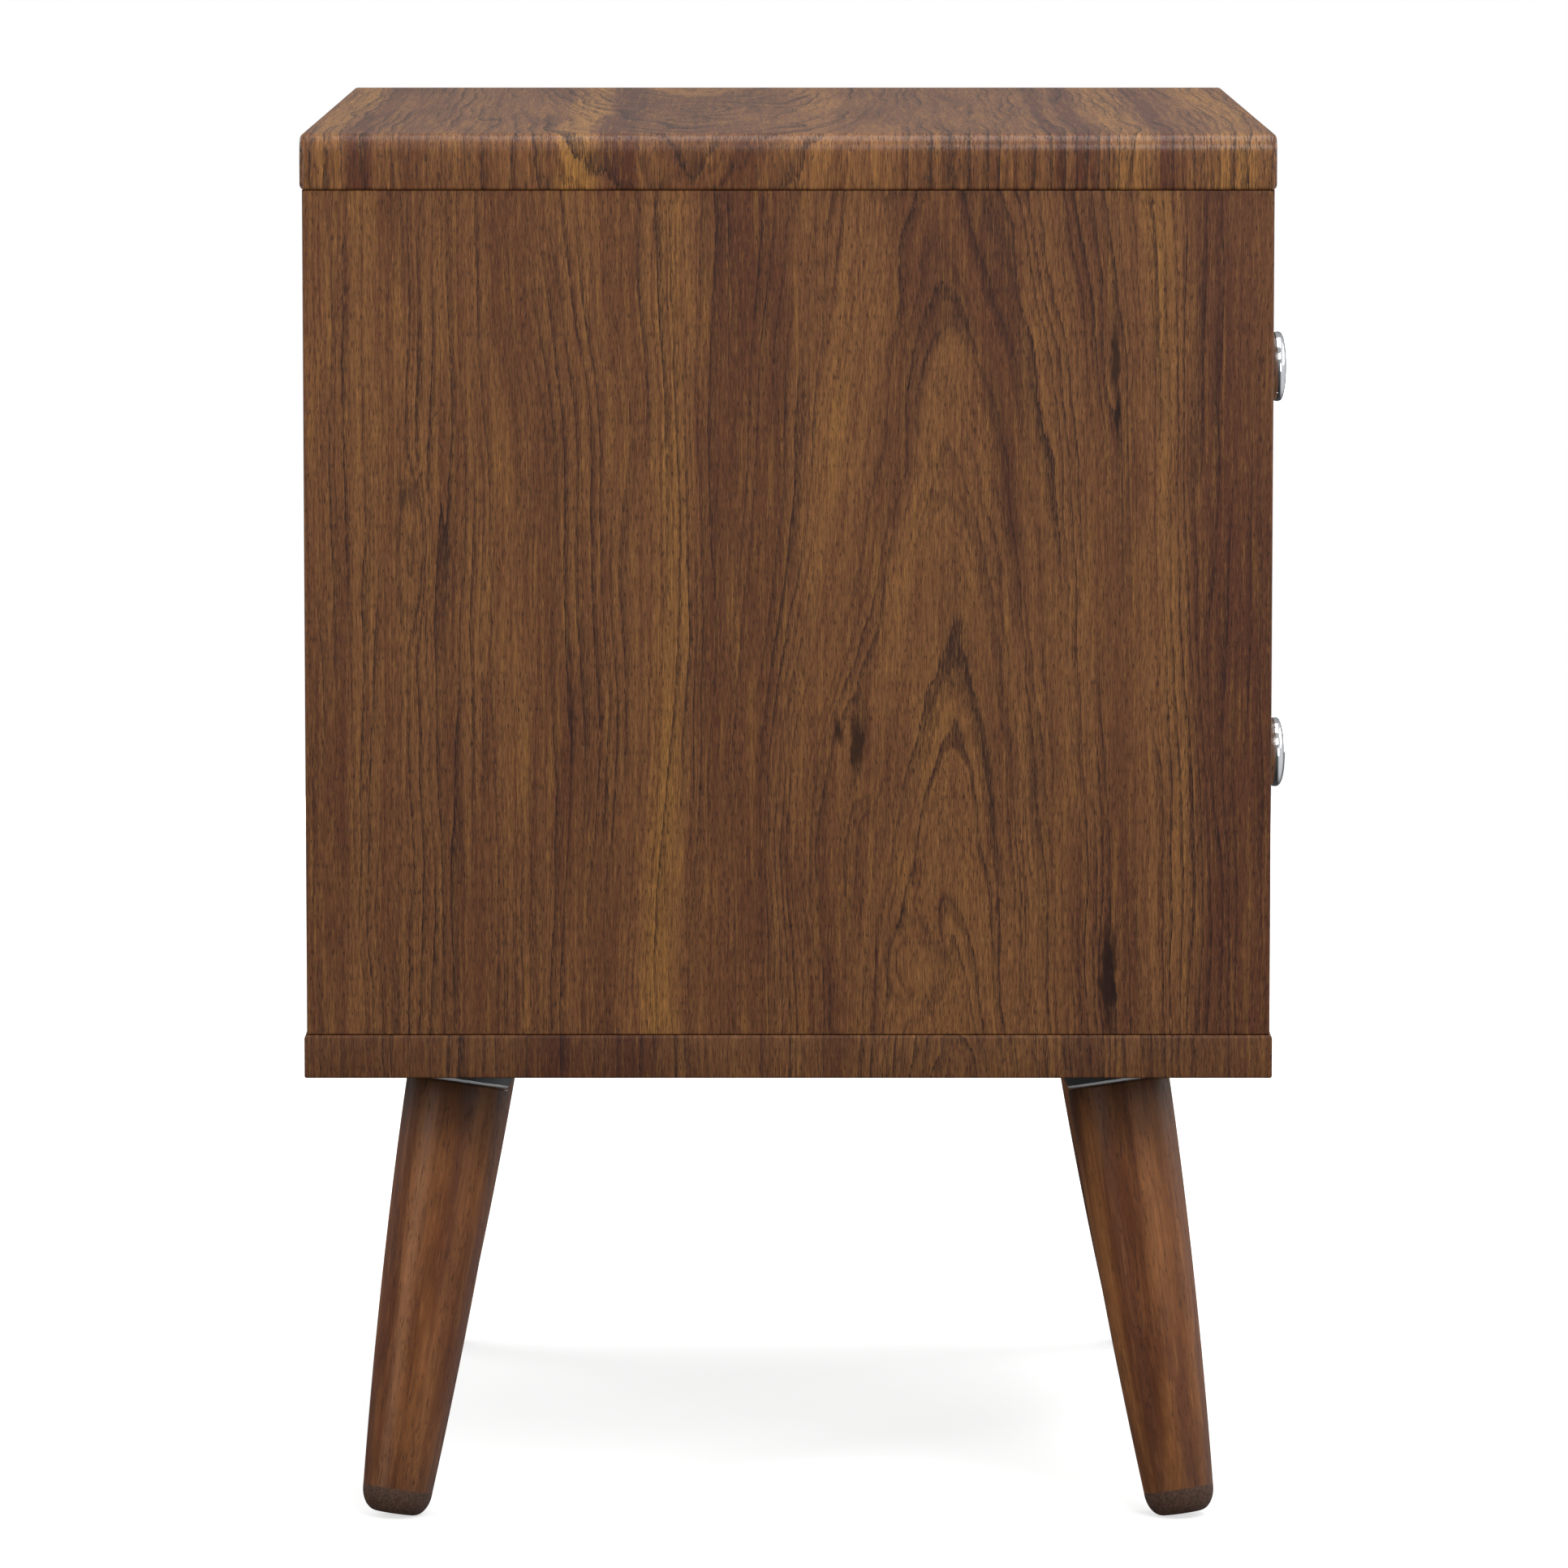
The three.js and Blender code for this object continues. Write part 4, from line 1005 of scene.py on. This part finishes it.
def studio_world():
    """White behind the object, and a soft dim surround for its shading and reflections."""
    world = bpy.data.worlds.new("studio")
    bpy.context.scene.world = world
    world.use_nodes = True
    tree = world.node_tree
    tree.nodes.clear()
    output = tree.nodes.new("ShaderNodeOutputWorld")
    ray = tree.nodes.new("ShaderNodeLightPath")
    direction = tree.nodes.new("ShaderNodeTexCoord")
    split = tree.nodes.new("ShaderNodeSeparateXYZ")
    tree.links.new(direction.outputs["Generated"], split.inputs[0])

    def from_below_to_above(levels):
        """Grey levels at places from 0, straight down, to 1, straight up; the two ends come first."""
        ramp = tree.nodes.new("ShaderNodeValToRGB")
        scale = tree.nodes.new("ShaderNodeMapRange")
        scale.inputs["From Min"].default_value = -1
        tree.links.new(split.outputs[2], scale.inputs["Value"])
        tree.links.new(scale.outputs[0], ramp.inputs[0])
        for number, (place, level) in enumerate(levels):
            stop = ramp.color_ramp.elements[number] if number < 2 else ramp.color_ramp.elements.new(place)
            stop.position = place
            stop.color = (level, level, level, 1)
        return ramp.outputs[0]

    def either(switch, first, second):
        mix = tree.nodes.new("ShaderNodeMix")
        mix.data_type = "RGBA"
        tree.links.new(switch, mix.inputs[0])
        tree.links.new(first, mix.inputs[6])
        if isinstance(second, tuple):
            mix.inputs[7].default_value = second
        else:
            tree.links.new(second, mix.inputs[7])
        return mix.outputs[2]

    shading = from_below_to_above(((0.0, 0.30), (1.0, 0.85), (0.45, 0.38), (0.6, 0.60)))
    reflected = from_below_to_above(((0.0, 0.03), (1.0, 0.5), (0.48, 0.10), (0.56, 0.22)))
    # What metal reflects is brighter on the drawer-front side, so that the knobs shine
    front = tree.nodes.new("ShaderNodeMapRange")
    front.interpolation_type = "SMOOTHSTEP"
    front.inputs["From Min"].default_value = -0.25
    front.inputs["From Max"].default_value = -0.80
    front.inputs["To Max"].default_value = 0.85
    tree.links.new(split.outputs[1], front.inputs["Value"])
    reflected = either(front.outputs[0], reflected, (0.80, 0.80, 0.82, 1))
    surround = either(ray.outputs["Is Glossy Ray"], shading, reflected)
    seen = either(ray.outputs["Is Camera Ray"], surround, (1, 1, 1, 1))
    background = tree.nodes.new("ShaderNodeBackground")
    tree.links.new(seen, background.inputs["Color"])
    tree.links.new(background.outputs[0], output.inputs["Surface"])


def softbox(name, place, width, height, watts):
    """A rectangular light that faces the middle of the cabinet."""
    light = bpy.data.lights.new(name, "AREA")
    light.shape = "RECTANGLE"
    light.size = width
    light.size_y = height
    light.energy = watts
    lamp = bpy.data.objects.new(name, light)
    lamp.location = place
    aim = Vector((0, 0, 0.35)) - lamp.location
    lamp.rotation_euler = aim.to_track_quat("-Z", "Y").to_euler()
    lamp.visible_camera = False
    bpy.context.scene.collection.objects.link(lamp)


lay_floor()
studio_world()
softbox("overhead", (0.1, -0.5, 3.0), 2.0, 2.2, 52)
softbox("key", (-2.2, -0.9, 2.2), 1.4, 1.0, 42)
softbox("knob_card", (-2.0, -2.1, 0.40), 1.6, 1.2, 6)
softbox("left_strip", (-1.9, 2.2, 0.9), 0.5, 1.6, 22)
softbox("right_strip", (-2.4, -1.2, 0.5), 0.4, 1.2, 3)
softbox("front_fill", (0.9, -2.8, 1.2), 1.6, 1.4, 26)
softbox("back_fill", (1.6, 2.4, 1.2), 1.6, 1.4, 22)
softbox("far_fill", (2.3, -0.3, 0.30), 1.4, 0.5, 12)

# The camera is square to the left side, CAMERA_DISTANCE from it, and looks a little down on the top
CAMERA_DISTANCE = 3.74
CAMERA_HEIGHT = 0.7487
CAMERA_Y = 0.0105
AIM_DOWN = math.radians(6.644)
camera_data = bpy.data.cameras.new("camera")
camera_data.sensor_width = 36
camera_data.lens = 209.85
camera_data.clip_end = 200
camera = bpy.data.objects.new("camera", camera_data)
camera.location = (slab_low.x - CAMERA_DISTANCE, CAMERA_Y, CAMERA_HEIGHT)
camera.rotation_euler = (math.pi / 2 - AIM_DOWN, 0, -math.pi / 2)
bpy.context.scene.collection.objects.link(camera)
bpy.context.scene.camera = camera
bpy.context.scene.view_settings.view_transform = "Standard"
